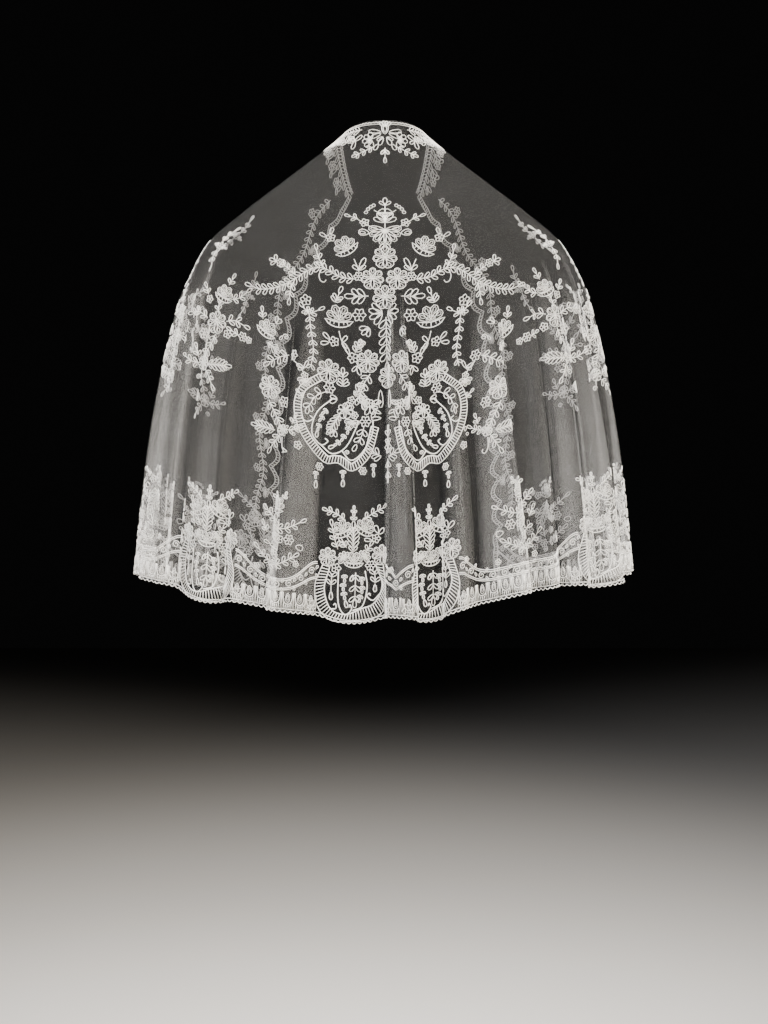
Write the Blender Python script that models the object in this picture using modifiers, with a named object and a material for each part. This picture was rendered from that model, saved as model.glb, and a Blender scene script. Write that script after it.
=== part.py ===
"""Lace mantilla, worn as a short cape, hollow and open down the front.

Metres, +Z up. The wearer faces -Y, so +X is the wearer's left side. The origin is the middle of
the base of the neck, where the cloth is carried. One soft drape function gives every point of the
cloth: rings worked out from a table of sections, with the folds of a second table laid on them.
"""
import bpy
import numpy as np

# Driving sizes of the cloth.
NET_WALL = 0.0012
BORDER_WALL = 0.0022
BORDER_HOLLOW = 0.0014
SEAM_GAP = 0.0004
CLOTH_DROP = 0.615
FRONT_TURN = np.radians(137.0)
SHOULDER_RIDGE = 3.4
LEFT_DROP = 1.6
HEM_STEPS = 1600
NORMAL_STEP = 0.0015

# Sections from the neck edge to the hem. down is the share of the way to the hem. side_x and side_z
# run over the shoulder and the arm, back_y and back_z down the middle of the back, front_y and
# front_z down the chest. square makes the ring fuller in its corners.
SECTION_NAMES = ("down", "side_x", "side_z", "back_y", "back_z", "front_y", "front_z", "square")
SECTIONS = (
    (0.00, 0.050, 0.080, 0.052, 0.088, 0.060, 0.004, 2.0),
    (0.06, 0.077, 0.060, 0.060, 0.054, 0.076, -0.022, 2.0),
    (0.14, 0.119, 0.028, 0.074, 0.006, 0.098, -0.056, 2.1),
    (0.24, 0.170, -0.012, 0.097, -0.052, 0.124, -0.104, 2.3),
    (0.34, 0.213, -0.052, 0.111, -0.110, 0.142, -0.158, 2.5),
    (0.42, 0.234, -0.095, 0.117, -0.157, 0.150, -0.202, 2.5),
    (0.50, 0.246, -0.142, 0.120, -0.204, 0.154, -0.246, 2.5),
    (0.65, 0.261, -0.232, 0.126, -0.291, 0.160, -0.326, 2.5),
    (0.80, 0.271, -0.325, 0.132, -0.377, 0.164, -0.404, 2.5),
    (1.00, 0.280, -0.449, 0.138, -0.492, 0.170, -0.506, 2.5),
)

# Folds, from the wearer's left front round the back to the right front. around is the place on the
# hem: 0 is the middle of the back, 1 the left front edge and -1 the right one. top is the share down
# where a fold starts, rise how far its crest stands out at the hem, half its half width on the hem,
# lean how far the crest hangs over sideways, and pinch how far its flanks bulge, all in metres.
FOLD_NAMES = ("around", "top", "rise", "half", "lean", "pinch")
FOLDS = (
    (0.895, 0.20, 0.016, 0.028, 0.005, 0.003),
    (0.81, 0.26, 0.020, 0.024, -0.006, 0.004),
    (0.750, 0.30, 0.016, 0.022, 0.004, 0.003),
    (0.640, 0.34, 0.022, 0.024, -0.012, 0.006),
    (0.56, 0.36, 0.016, 0.024, 0.006, 0.003),
    (0.465, 0.36, 0.024, 0.026, 0.016, 0.006),
    (0.365, 0.42, 0.012, 0.028, -0.004, 0.002),
    (0.285, 0.45, 0.009, 0.022, 0.004, 0.001),
    (0.170, 0.36, 0.026, 0.024, 0.024, 0.005),
    (0.085, 0.62, 0.007, 0.030, 0.003, 0.000),
    (-0.030, 0.38, 0.030, 0.019, -0.007, 0.006),
    (-0.148, 0.46, 0.016, 0.020, 0.010, 0.005),
    (-0.225, 0.38, 0.027, 0.024, -0.024, 0.005),
    (-0.325, 0.42, 0.017, 0.016, 0.003, 0.002),
    (-0.380, 0.38, 0.018, 0.018, -0.004, 0.004),
    (-0.450, 0.36, 0.021, 0.021, -0.012, 0.006),
    (-0.535, 0.35, 0.016, 0.022, 0.005, 0.003),
    (-0.612, 0.35, 0.021, 0.024, -0.012, 0.006),
    (-0.722, 0.33, 0.018, 0.025, 0.006, 0.004),
    (-0.800, 0.28, 0.021, 0.026, 0.008, 0.004),
    (-0.892, 0.22, 0.017, 0.027, -0.004, 0.003),
)

# Folds grow by this power of the way down, past a short onset. Ripples are the small waves between
# them: radians round the half hem, radians from neck to hem, and height in metres.
FOLD_GROWTH = 0.65
FOLD_ONSET = 0.14
RIPPLES = ((31.0, 2.4, 0.0016), (53.0, -1.7, 0.0010))
RIPPLE_TOP = 0.35
RIPPLE_FADE = 0.40

# Lace borders, as shares of the drop or of the half round, and the scallops cut along them.
NECK_BAND = 0.045
FRONT_BAND = 0.045
HEM_BAND = 0.115
HEM_BAND_SHARES = (0.0, 0.22, 0.55, 1.0)
BAND_LINES = 3
HEM_SCALLOP_DEPTH = 0.0040
MEDALLIONS = (0.97, 0.68, 0.36, 0.06, -0.09, -0.43, -0.75)
MEDALLION_HALF = 0.085
MEDALLION_DEPTH = 0.008
CORNER = 0.06
CORNER_RISE = 0.035
NECK_SCALLOP_DEPTH = 0.003
SAME_PLACE_DIGITS = 3
FRONT_SCALLOPS = 15
FRONT_SCALLOP_DEPTH = 0.010
FRONT_SCALLOP_STEPS = 4

# Stretches of cloth from the left front round to the right front: they part beside the two strong
# folds of the back and in front of each arm. arches counts the arches of the hem border.
STRETCH_NAMES = ("name", "left", "right", "arches")
STRETCHES = (
    ("left_front", 1 - FRONT_BAND, 0.695, 10),
    ("left_arm", 0.695, 0.235, 17),
    ("back", 0.235, -0.285, 21),
    ("right_arm", -0.285, -0.665, 16),
    ("right_front", -0.665, -1 + FRONT_BAND, 11),
)
NET_ROWS = 17

CLOTH_ROUGHNESS = 0.75
NET_COLOUR = (0.86, 0.85, 0.82, 1.0)
LACE_COLOUR = (0.95, 0.93, 0.88, 1.0)
EDGE_COLOUR = (0.92, 0.89, 0.82, 1.0)


def column(table, names, name):
    """One named column of a table."""
    return np.array([row[names.index(name)] for row in table])


def section(name, down):
    """A section size at each share down: a smooth curve through the table's rows."""
    knots = column(SECTIONS, SECTION_NAMES, "down")
    sizes = column(SECTIONS, SECTION_NAMES, name)
    slopes = np.gradient(sizes, knots)
    low = np.clip(np.searchsorted(knots, down, side="right") - 1, 0, len(knots) - 2)
    span = knots[low + 1] - knots[low]
    t = (down - knots[low]) / span
    start = (1 + 2 * t) * (1 - t) ** 2 * sizes[low] + t * (1 - t) ** 2 * span * slopes[low]
    end = t * t * (3 - 2 * t) * sizes[low + 1] + t * t * (t - 1) * span * slopes[low + 1]
    return start + end


def ring_radius(turn, down):
    """How far the ring lies from the middle, in the direction turn: a rounded oblong."""
    behind = np.cos(turn) > 0
    depth = np.where(behind, section("back_y", down), section("front_y", down))
    power = section("square", down)
    across = (np.abs(np.sin(turn)) / section("side_x", down)) ** power
    along = (np.abs(np.cos(turn)) / depth) ** power
    return (across + along) ** (-1 / power)


def hem_turns():
    """Directions round the hem, and the running length of the hem ring at each."""
    turns = np.linspace(-FRONT_TURN, FRONT_TURN, HEM_STEPS + 1)
    radius = ring_radius(turns, np.ones_like(turns))
    steps = np.hypot(np.diff(radius * np.sin(turns)), np.diff(radius * np.cos(turns)))
    length = np.concatenate([[0.0], np.cumsum(steps)])
    return turns, length


HEM_TURNS, HEM_LENGTHS = hem_turns()
HALF_HEM = HEM_LENGTHS[-1] / 2


def plain_drape(around, down):
    """The cloth with no folds: a ring for each share down, tilted from the back to the shoulders."""
    turn = np.interp((around + 1) * HALF_HEM, HEM_LENGTHS, HEM_TURNS)
    radius = ring_radius(turn, down)
    side = np.abs(np.sin(turn)) ** (SHOULDER_RIDGE + LEFT_DROP * down * np.sin(turn))
    end_z = np.where(np.cos(turn) > 0, section("back_z", down), section("front_z", down))
    height = section("side_z", down) * side + end_z * (1 - side)
    return np.stack([radius * np.sin(turn), radius * np.cos(turn), height], axis=-1)


def unit(vectors):
    """Vectors of length one."""
    return vectors / np.linalg.norm(vectors, axis=-1, keepdims=True)


def fold_shifts(around, down):
    """How far the folds move a point out and sideways: a cosine swell for each row of FOLDS."""
    out = np.zeros(np.broadcast(around, down).shape)
    sideways = np.zeros_like(out)
    for row in FOLDS:
        fold = dict(zip(FOLD_NAMES, row))
        grown = np.clip((down - fold["top"]) / (1 - fold["top"]), 0, 1)
        grown = grown ** FOLD_GROWTH * np.clip(grown / FOLD_ONSET, 0, 1) ** 2
        reach = np.clip((around - fold["around"]) * HALF_HEM / fold["half"], -1, 1)
        swell = np.cos(np.pi * reach / 2) ** 2
        out += fold["rise"] * grown * swell
        sideways += grown * (fold["lean"] * swell + fold["pinch"] * np.sin(np.pi * reach))
    for waves, slant, height in RIPPLES:
        grown = np.clip((down - RIPPLE_TOP) / RIPPLE_FADE, 0, 1)
        out += height * np.sin(waves * around + slant * down) * grown
    return out, sideways


def drape(around, down):
    """Points of the cloth: the plain drape, moved along its normal and its ring by the folds."""
    step = NORMAL_STEP
    here = plain_drape(around, down)
    round_it = unit(plain_drape(around + step, down) - plain_drape(around - step, down))
    inside_down = np.clip(down, step, 1 - step)
    fall = unit(plain_drape(around, inside_down + step) - plain_drape(around, inside_down - step))
    normal = unit(np.cross(round_it, fall))
    out, sideways = fold_shifts(around, down)
    return here + normal * out[..., None] + round_it * sideways[..., None]


def grid_mesh(name, points):
    """An open mesh through a grid of points, split into triangles on the short diagonal."""
    rows, columns = points.shape[:2]
    index = np.arange(rows * columns).reshape(rows, columns)
    a, b = index[:-1, :-1], index[:-1, 1:]
    c, d = index[1:, 1:], index[1:, :-1]
    flat = points.reshape(-1, 3)
    falling = np.linalg.norm(flat[a] - flat[c], axis=-1)
    rising = np.linalg.norm(flat[b] - flat[d], axis=-1)
    use_falling = (falling <= rising)[..., None]
    first = np.where(use_falling, np.stack([a, c, b], -1), np.stack([a, d, b], -1))
    second = np.where(use_falling, np.stack([a, d, c], -1), np.stack([b, d, c], -1))
    faces = np.concatenate([first.reshape(-1, 3), second.reshape(-1, 3)])
    mesh = bpy.data.meshes.new(name)
    mesh.from_pydata(flat.tolist(), [], faces.tolist())
    mesh.update()
    return mesh


def make_material(name, colour):
    """A plain cloth finish."""
    material = bpy.data.materials.new(name)
    material.use_nodes = True
    shader = material.node_tree.nodes["Principled BSDF"]
    shader.inputs["Base Color"].default_value = colour
    shader.inputs["Roughness"].default_value = CLOTH_ROUGHNESS
    shader.inputs["Metallic"].default_value = 0.0
    return material


def cloth_piece(name, points, wall, colour, raised=None):
    """A named wall of cloth. The grid is its plain inside, and raised thins the outside between ribs."""
    mesh = grid_mesh(name, points)
    piece = bpy.data.objects.new(name, mesh)
    collection.objects.link(piece)
    solid = piece.modifiers.new("Wall", "SOLIDIFY")
    solid.thickness = wall
    solid.offset = 1.0
    solid.use_even_offset = False
    if raised is not None:
        ribs = piece.vertex_groups.new(name="ribs")
        for vertex, weight in enumerate(raised.ravel()):
            ribs.add([vertex], float(weight), "REPLACE")
        solid.vertex_group = "ribs"
        solid.thickness_vertex_group = BORDER_HOLLOW / wall
    mesh.materials.append(make_material(name + " cloth", colour))
    mesh.shade_smooth()
    return piece


DOWN_GAP = SEAM_GAP / 2 / CLOTH_DROP
NET_TOP = NECK_BAND + DOWN_GAP
NET_BOTTOM = 1 - HEM_BAND - DOWN_GAP


def across_lines(left, right, arches):
    """Places round the hem for one stretch, from seam to seam: two steps to an arch."""
    return np.linspace(left, right, 2 * arches + 1)


def band_lines(side):
    """Places round the hem across one front border, from its free edge to its seam."""
    return side * np.linspace(1.0, 1 - FRONT_BAND, BAND_LINES)


def beside_seam(place, down, way):
    """A seam's place moved by half the gap, measured on the ring that the cloth has at each share down."""
    ahead, behind = (plain_drape(place + step, down) for step in (NORMAL_STEP, -NORMAL_STEP))
    rate = np.linalg.norm(ahead - behind, axis=-1) / (2 * NORMAL_STEP)
    return place + way * SEAM_GAP / 2 / rate


def parted(across, down):
    """Places for a grid of rows and columns, with its first and last column kept clear of the seams."""
    around = np.repeat(across[None, :], len(down), axis=0)
    for column, way in ((0, -1), (-1, 1)):
        if abs(across[column]) < 1:
            around[:, column] = beside_seam(around[:, column], down[:, column], way)
    return around


def net_stretch(name, across):
    """A stretch of plain net from the neck band to the hem band, at its places round the hem."""
    rows = np.linspace(NET_TOP, NET_BOTTOM, NET_ROWS)
    down = np.repeat(rows[:, None], len(across), axis=1)
    cloth_piece(name, drape(parted(across, down), down), NET_WALL, NET_COLOUR)


def hem_edge(across):
    """How far down the cloth reaches: lower under each medallion, and round at the front corners."""
    away = np.abs(across[:, None] - np.array(MEDALLIONS)[None, :]).min(axis=1)
    shallow = np.sin(np.pi / 2 * np.clip(away / MEDALLION_HALF, 0, 1)) ** 2
    corner = np.clip((np.abs(across) - 1 + CORNER) / CORNER, 0, 1)
    rise = MEDALLION_DEPTH * shallow + CORNER_RISE * (1 - np.sqrt(1 - corner ** 2))
    return 1 - rise / CLOTH_DROP


def hem_stretch(name, across):
    """A stretch of the hem border: a raised rail, then hollows between raised ribs to the scallops."""
    rib = 1.0 - np.arange(len(across)) % 2
    edge = hem_edge(across) - HEM_SCALLOP_DEPTH * rib / CLOTH_DROP
    share = np.array(HEM_BAND_SHARES)[:, None]
    top = NET_BOTTOM + 2 * DOWN_GAP
    down = top + (edge[None, :] - top) * share
    raised = np.stack([np.ones_like(rib), rib, rib, np.ones_like(rib)])
    cloth_piece(name, drape(parted(across, down), down), BORDER_WALL, LACE_COLOUR, raised)


def front_band(name, side):
    """The scalloped border down one front edge. Between the rows of the net its seam runs straight."""
    rows = np.linspace(NET_TOP, NET_BOTTOM, NET_ROWS)
    fine = np.linspace(0, NET_ROWS - 1, FRONT_SCALLOPS * FRONT_SCALLOP_STEPS + 1)
    down = NET_TOP + (NET_BOTTOM - NET_TOP) * fine / (NET_ROWS - 1)
    swing = np.abs(np.sin(np.pi * FRONT_SCALLOPS * fine / (NET_ROWS - 1)))
    lines = []
    for step, place in enumerate(band_lines(side)):
        if step == BAND_LINES - 1:
            seam = drape(beside_seam(np.full_like(rows, place), rows, side), rows)
            lines.append(np.stack([np.interp(down, rows, seam[:, axis]) for axis in range(3)], axis=-1))
        else:
            cut = side * FRONT_SCALLOP_DEPTH * (1 - swing) / HALF_HEM * (1 - step / (BAND_LINES - 1))
            lines.append(drape(place - cut, down))
    if side < 0:
        lines.reverse()
    points = np.stack(lines, axis=1)
    cloth_piece(name, points, BORDER_WALL, EDGE_COLOUR, np.ones(points.shape[:2]))


def neck_band(name):
    """The scalloped border round the back and sides of the neck, from front edge to front edge."""
    stretches = [across_lines(left, right, arches) for _, left, right, arches in STRETCHES]
    places = np.concatenate([band_lines(1), *stretches, band_lines(-1)])
    across = np.unique(np.round(places, SAME_PLACE_DIGITS))[::-1]
    notch = NECK_SCALLOP_DEPTH * (np.arange(len(across)) % 2) / CLOTH_DROP
    bottom = NECK_BAND - DOWN_GAP
    down = notch + (bottom - notch) * np.linspace(0, 1, BAND_LINES)[:, None]
    points = drape(across[None, :], down)
    cloth_piece(name, points, BORDER_WALL, EDGE_COLOUR, np.ones(points.shape[:2]))


for old in list(bpy.data.objects):
    bpy.data.objects.remove(old, do_unlink=True)

collection = bpy.data.collections.new("mantilla")
bpy.context.scene.collection.children.link(collection)

for row in STRETCHES:
    stretch = dict(zip(STRETCH_NAMES, row))
    across = across_lines(stretch["left"], stretch["right"], stretch["arches"])
    net_stretch("net_" + stretch["name"], across)
    if stretch["left"] == 1 - FRONT_BAND:
        across = np.concatenate([band_lines(1)[:-1], across])
    if stretch["right"] == -1 + FRONT_BAND:
        across = np.concatenate([across, band_lines(-1)[-2::-1]])
    hem_stretch("hem_border_" + stretch["name"], across)

front_band("front_border_left", 1)
front_band("front_border_right", -1)
neck_band("neck_border")
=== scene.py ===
"""Lace mantilla, worn as a short open cape: fine net with corded flowers, paisleys and borders.

Metres, +Z up, +X the wearer's left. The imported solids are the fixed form. The net is drawn through the
same drape, and every cord of the lace is laid on it by its place round and down the cloth.
"""

import bpy
import numpy as np
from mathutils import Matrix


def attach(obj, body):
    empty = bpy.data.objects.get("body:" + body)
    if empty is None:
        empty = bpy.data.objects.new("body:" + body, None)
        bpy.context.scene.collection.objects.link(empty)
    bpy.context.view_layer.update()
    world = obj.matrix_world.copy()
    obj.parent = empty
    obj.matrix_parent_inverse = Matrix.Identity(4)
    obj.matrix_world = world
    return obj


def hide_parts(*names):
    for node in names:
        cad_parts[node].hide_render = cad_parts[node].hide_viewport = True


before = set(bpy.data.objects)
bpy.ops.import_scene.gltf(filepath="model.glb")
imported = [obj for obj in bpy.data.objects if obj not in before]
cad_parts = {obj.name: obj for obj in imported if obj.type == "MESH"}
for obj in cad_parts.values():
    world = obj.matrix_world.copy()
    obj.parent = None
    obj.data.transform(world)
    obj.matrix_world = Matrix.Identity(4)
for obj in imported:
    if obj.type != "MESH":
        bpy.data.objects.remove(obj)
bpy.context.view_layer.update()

# The net: one long cloth of cotton tulle with rounded ends, woven in one piece, so it is one sheet
# here, a single layer of thread from the neck edge to the scalloped hem. It hangs over the shoulders
# in soft folds, and narrow creases run along the crests of the strong ones.
CLOTH_DROP = 0.615
FRONT_TURN = np.radians(137.0)
SHOULDER_RIDGE = 3.4
LEFT_DROP = 1.6

# Sections: share down, half width and height at the arms, depth and height at the back and at the
# front, in metres, and how square the ring is.
SECTION_NAMES = ("down", "side_x", "side_z", "back_y", "back_z", "front_y", "front_z", "square")
SECTIONS = (
    (0.00, 0.050, 0.080, 0.052, 0.088, 0.060, 0.004, 2.0),
    (0.06, 0.077, 0.060, 0.060, 0.054, 0.076, -0.022, 2.0),
    (0.14, 0.119, 0.028, 0.074, 0.006, 0.098, -0.056, 2.1),
    (0.24, 0.170, -0.012, 0.097, -0.052, 0.124, -0.104, 2.3),
    (0.34, 0.213, -0.052, 0.111, -0.110, 0.142, -0.158, 2.5),
    (0.42, 0.234, -0.095, 0.117, -0.157, 0.150, -0.202, 2.5),
    (0.50, 0.246, -0.142, 0.120, -0.204, 0.154, -0.246, 2.5),
    (0.65, 0.261, -0.232, 0.126, -0.291, 0.160, -0.326, 2.5),
    (0.80, 0.271, -0.325, 0.132, -0.377, 0.164, -0.404, 2.5),
    (1.00, 0.280, -0.449, 0.138, -0.492, 0.170, -0.506, 2.5),
)

# Folds: place round the hem, share down where it starts, rise at the hem, half width, how far the
# crest leans sideways and how far the flanks bulge, in metres.
FOLD_NAMES = ("around", "top", "rise", "half", "lean", "pinch")
FOLDS = (
    (0.895, 0.20, 0.016, 0.028, 0.005, 0.003),
    (0.81, 0.26, 0.020, 0.024, -0.006, 0.004),
    (0.750, 0.30, 0.016, 0.022, 0.004, 0.003),
    (0.640, 0.34, 0.022, 0.024, -0.012, 0.006),
    (0.56, 0.36, 0.016, 0.024, 0.006, 0.003),
    (0.465, 0.36, 0.024, 0.026, 0.016, 0.006),
    (0.365, 0.42, 0.012, 0.028, -0.004, 0.002),
    (0.285, 0.45, 0.009, 0.022, 0.004, 0.001),
    (0.170, 0.36, 0.026, 0.024, 0.024, 0.005),
    (0.085, 0.62, 0.007, 0.030, 0.003, 0.000),
    (-0.030, 0.38, 0.030, 0.019, -0.007, 0.006),
    (-0.148, 0.46, 0.016, 0.020, 0.010, 0.005),
    (-0.225, 0.38, 0.027, 0.024, -0.024, 0.005),
    (-0.325, 0.42, 0.017, 0.016, 0.003, 0.002),
    (-0.380, 0.38, 0.018, 0.018, -0.004, 0.004),
    (-0.450, 0.36, 0.021, 0.021, -0.012, 0.006),
    (-0.535, 0.35, 0.016, 0.022, 0.005, 0.003),
    (-0.612, 0.35, 0.021, 0.024, -0.012, 0.006),
    (-0.722, 0.33, 0.018, 0.025, 0.006, 0.004),
    (-0.800, 0.28, 0.021, 0.026, 0.008, 0.004),
    (-0.892, 0.22, 0.017, 0.027, -0.004, 0.003),
)
FOLD_GROWTH = 0.65
FOLD_ONSET = 0.14

# Ripples: waves round the cloth, slant down it and height. They set in below RIPPLE_TOP.
RIPPLES = ((31.0, 2.4, 0.0016), (53.0, -1.7, 0.0010))
RIPPLE_TOP = 0.35
RIPPLE_FADE = 0.4

# Creases: place round the hem at the top and at the bottom of the crease, the shares down where it
# starts and ends, its height (a trough is negative) and its half width, in metres.
CREASE_NAMES = ("top_around", "low_around", "top", "bottom", "height", "half")
CREASES = (
    (0.930, 0.935, 0.18, 0.96, 0.0024, 0.006),
    (0.850, 0.846, 0.30, 1.10, -0.0027, 0.008),
    (0.700, 0.690, 0.24, 0.90, 0.0030, 0.007),
    (0.600, 0.596, 0.40, 1.10, -0.0030, 0.008),
    (0.520, 0.512, 0.30, 0.86, 0.0027, 0.006),
    (0.440, 0.446, 0.34, 1.05, 0.0046, 0.0034),
    (0.325, 0.322, 0.42, 1.10, -0.0024, 0.009),
    (0.235, 0.240, 0.26, 0.92, 0.0024, 0.007),
    (0.200, 0.212, 0.40, 1.10, 0.0048, 0.0030),
    (0.120, 0.124, 0.55, 1.10, 0.0018, 0.007),
    (0.030, 0.034, 0.62, 1.10, -0.0021, 0.008),
    (-0.016, -0.010, 0.34, 1.10, 0.0050, 0.0028),
    (-0.027, -0.030, 0.44, 1.10, -0.0030, 0.0030),
    (-0.040, -0.049, 0.34, 1.10, 0.0046, 0.0030),
    (-0.105, -0.102, 0.52, 1.02, -0.0018, 0.008),
    (-0.152, -0.160, 0.50, 1.10, 0.0036, 0.0030),
    (-0.262, -0.272, 0.42, 1.10, 0.0046, 0.0030),
    (-0.350, -0.352, 0.30, 0.94, -0.0024, 0.006),
    (-0.400, -0.404, 0.34, 1.00, 0.0040, 0.0034),
    (-0.492, -0.490, 0.30, 0.84, -0.0030, 0.007),
    (-0.572, -0.575, 0.36, 1.10, 0.0027, 0.007),
    (-0.668, -0.672, 0.28, 0.92, 0.0033, 0.008),
    (-0.760, -0.763, 0.34, 1.10, -0.0027, 0.008),
    (-0.845, -0.842, 0.24, 0.88, 0.0027, 0.007),
    (-0.940, -0.936, 0.22, 1.10, 0.0021, 0.006),
)
CREASE_FADE = 0.12

HEM_SCALLOP = 0.0020
MEDALLIONS = (0.97, 0.68, 0.36, 0.06, -0.09, -0.43, -0.75)
MEDALLION_HALF = 0.085
MEDALLION_DEPTH = 0.008
CORNER = 0.06
CORNER_RISE = 0.035
FRONT_SCALLOPS = 15
FRONT_SCALLOP_DEPTH = 0.010
FRONT_TOP = 0.045
FRONT_LOW = 0.885
HEM_PLACES = 1601
DOWN_PLACES = 121
DRAPE_STEP = 0.0015
NET_COLUMNS = 540
NET_ROWS = 84
CREASE_CROWD = 3.0
CREASE_CROWD_REACH = 0.008
FRONT_REACH = 0.07

NET_LIGHT = (0.88, 0.87, 0.845, 1.0)
NET_DEEP = (0.80, 0.785, 0.75, 1.0)
NET_HOLE = 0.0014
NET_THREAD = 0.02
NET_COVER = 0.19
NET_HAZE = 0.004
GATHER_POWER = 2.1
GATHER_MOST = 3.4
GATHER_STEP = 0.0006


def section(name, down):
    """A section size at each share down: a smooth cubic through the rows of the table."""
    knots = np.array([row[0] for row in SECTIONS])
    sizes = np.array([row[SECTION_NAMES.index(name)] for row in SECTIONS])
    slopes = np.gradient(sizes, knots)
    low = np.clip(np.searchsorted(knots, down, side="right") - 1, 0, len(knots) - 2)
    span = knots[low + 1] - knots[low]
    t = (down - knots[low]) / span
    start = (1 + 2 * t) * (1 - t) ** 2 * sizes[low] + t * (1 - t) ** 2 * span * slopes[low]
    end = t * t * (3 - 2 * t) * sizes[low + 1] + t * t * (t - 1) * span * slopes[low + 1]
    return start + end


def ring_radius(turn, down):
    """Distance of the ring from the middle: a rounded oblong, deeper at the front than at the back."""
    behind = np.cos(turn) > 0
    depth = np.where(behind, section("back_y", down), section("front_y", down))
    power = section("square", down)
    across = (np.abs(np.sin(turn)) / section("side_x", down)) ** power
    along = (np.abs(np.cos(turn)) / depth) ** power
    return (across + along) ** (-1 / power)


def hem_turns():
    """Directions round the hem and the running length of the hem ring at each."""
    turns = np.linspace(-FRONT_TURN, FRONT_TURN, HEM_PLACES)
    radius = ring_radius(turns, np.ones_like(turns))
    steps = np.hypot(np.diff(radius * np.sin(turns)), np.diff(radius * np.cos(turns)))
    return turns, np.concatenate([[0.0], np.cumsum(steps)])


HEM_TURNS, HEM_LENGTHS = hem_turns()
HALF_HEM = HEM_LENGTHS[-1] / 2


def plain_drape(around, down):
    """The cloth with no folds: a ring for each share down, tilted from the back to the shoulders."""
    turn = np.interp((around + 1) * HALF_HEM, HEM_LENGTHS, HEM_TURNS)
    radius = ring_radius(turn, down)
    side = np.abs(np.sin(turn)) ** (SHOULDER_RIDGE + LEFT_DROP * down * np.sin(turn))
    end_z = np.where(np.cos(turn) > 0, section("back_z", down), section("front_z", down))
    height = section("side_z", down) * side + end_z * (1 - side)
    return np.stack([radius * np.sin(turn), radius * np.cos(turn), height], axis=-1)


def unit(vectors):
    """Vectors of length one."""
    return vectors / np.maximum(np.linalg.norm(vectors, axis=-1, keepdims=True), 1e-12)


def cloth_ways(form, around, down, step):
    """The way round the cloth, and the way out of it: across a small step round and one down."""
    round_it = unit(form(around + step, down) - form(around - step, down))
    inside_down = np.clip(down, step, 1 - step)
    fall = unit(form(around, inside_down + step) - form(around, inside_down - step))
    return round_it, unit(np.cross(round_it, fall))


def fold_shifts(around, down):
    """How far folds, ripples and creases move a point out and sideways: a cosine swell for each."""
    out = np.zeros(np.broadcast(around, down).shape)
    sideways = np.zeros_like(out)
    for row in FOLDS:
        fold = dict(zip(FOLD_NAMES, row))
        grown = np.clip((down - fold["top"]) / (1 - fold["top"]), 0, 1)
        grown = grown ** FOLD_GROWTH * np.clip(grown / FOLD_ONSET, 0, 1) ** 2
        reach = np.clip((around - fold["around"]) * HALF_HEM / fold["half"], -1, 1)
        swell = np.cos(np.pi * reach / 2) ** 2
        out += fold["rise"] * grown * swell
        sideways += grown * (fold["lean"] * swell + fold["pinch"] * np.sin(np.pi * reach))
    grown = np.clip((down - RIPPLE_TOP) / RIPPLE_FADE, 0, 1)
    for waves, slant, height in RIPPLES:
        out += height * np.sin(waves * around + slant * down) * grown
    for row in CREASES:
        crease = dict(zip(CREASE_NAMES, row))
        share = (down - crease["top"]) / (crease["bottom"] - crease["top"])
        middle = crease["top_around"] + (crease["low_around"] - crease["top_around"]) * share
        ends = np.clip(share / CREASE_FADE, 0, 1) * np.clip((1 - share) / CREASE_FADE, 0, 1)
        reach = np.clip((around - middle) * HALF_HEM / crease["half"], -1, 1)
        out += crease["height"] * ends * np.cos(np.pi * reach / 2) ** 2
    return out, sideways


def drape(around, down):
    """Points of the cloth: the plain drape, moved along its normal and its ring by the folds."""
    round_it, outward = cloth_ways(plain_drape, around, down, DRAPE_STEP)
    out, sideways = fold_shifts(around, down)
    return plain_drape(around, down) + outward * out[..., None] + round_it * sideways[..., None]


def hem_edge(around):
    """How far down the cloth reaches: lower under each medallion, and round at the front corners."""
    away = np.abs(np.asarray(around)[..., None] - np.array(MEDALLIONS)).min(axis=-1)
    shallow = np.sin(np.pi / 2 * np.clip(away / MEDALLION_HALF, 0, 1)) ** 2
    corner = np.clip((np.abs(around) - 1 + CORNER) / CORNER, 0, 1)
    rise = MEDALLION_DEPTH * shallow + CORNER_RISE * (1 - np.sqrt(1 - corner ** 2))
    return 1 - (rise + HEM_SCALLOP) / CLOTH_DROP


def front_cut(down):
    """How far the front edge is cut back between its scallops, as a share of the half hem."""
    share = (down - FRONT_TOP) / (FRONT_LOW - FRONT_TOP)
    swing = np.abs(np.sin(np.pi * FRONT_SCALLOPS * share))
    inside = np.clip(np.minimum(share, 1 - share) * FRONT_SCALLOPS * 2, 0, 1)
    return FRONT_SCALLOP_DEPTH * (1 - swing) * inside / HALF_HEM


# Length tables of the draped cloth: S runs along each level from the middle of the back, and the two
# rates say how many metres of cloth lie in one unit of around and of down.
TABLE_AROUND = np.linspace(-1, 1, HEM_PLACES)
TABLE_DOWN = np.linspace(0, 1, DOWN_PLACES)
table_points = drape(TABLE_AROUND[None, :], TABLE_DOWN[:, None])
ring_steps = np.linalg.norm(np.diff(table_points, axis=1), axis=-1)
TABLE_S = np.concatenate([np.zeros((len(TABLE_DOWN), 1)), np.cumsum(ring_steps, axis=1)], axis=1)
TABLE_S = TABLE_S - TABLE_S[:, len(TABLE_AROUND) // 2][:, None]
AROUND_RATE = np.gradient(TABLE_S, TABLE_AROUND, axis=1)
DOWN_RATE = np.linalg.norm(np.gradient(table_points, TABLE_DOWN, axis=0), axis=-1)


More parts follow.
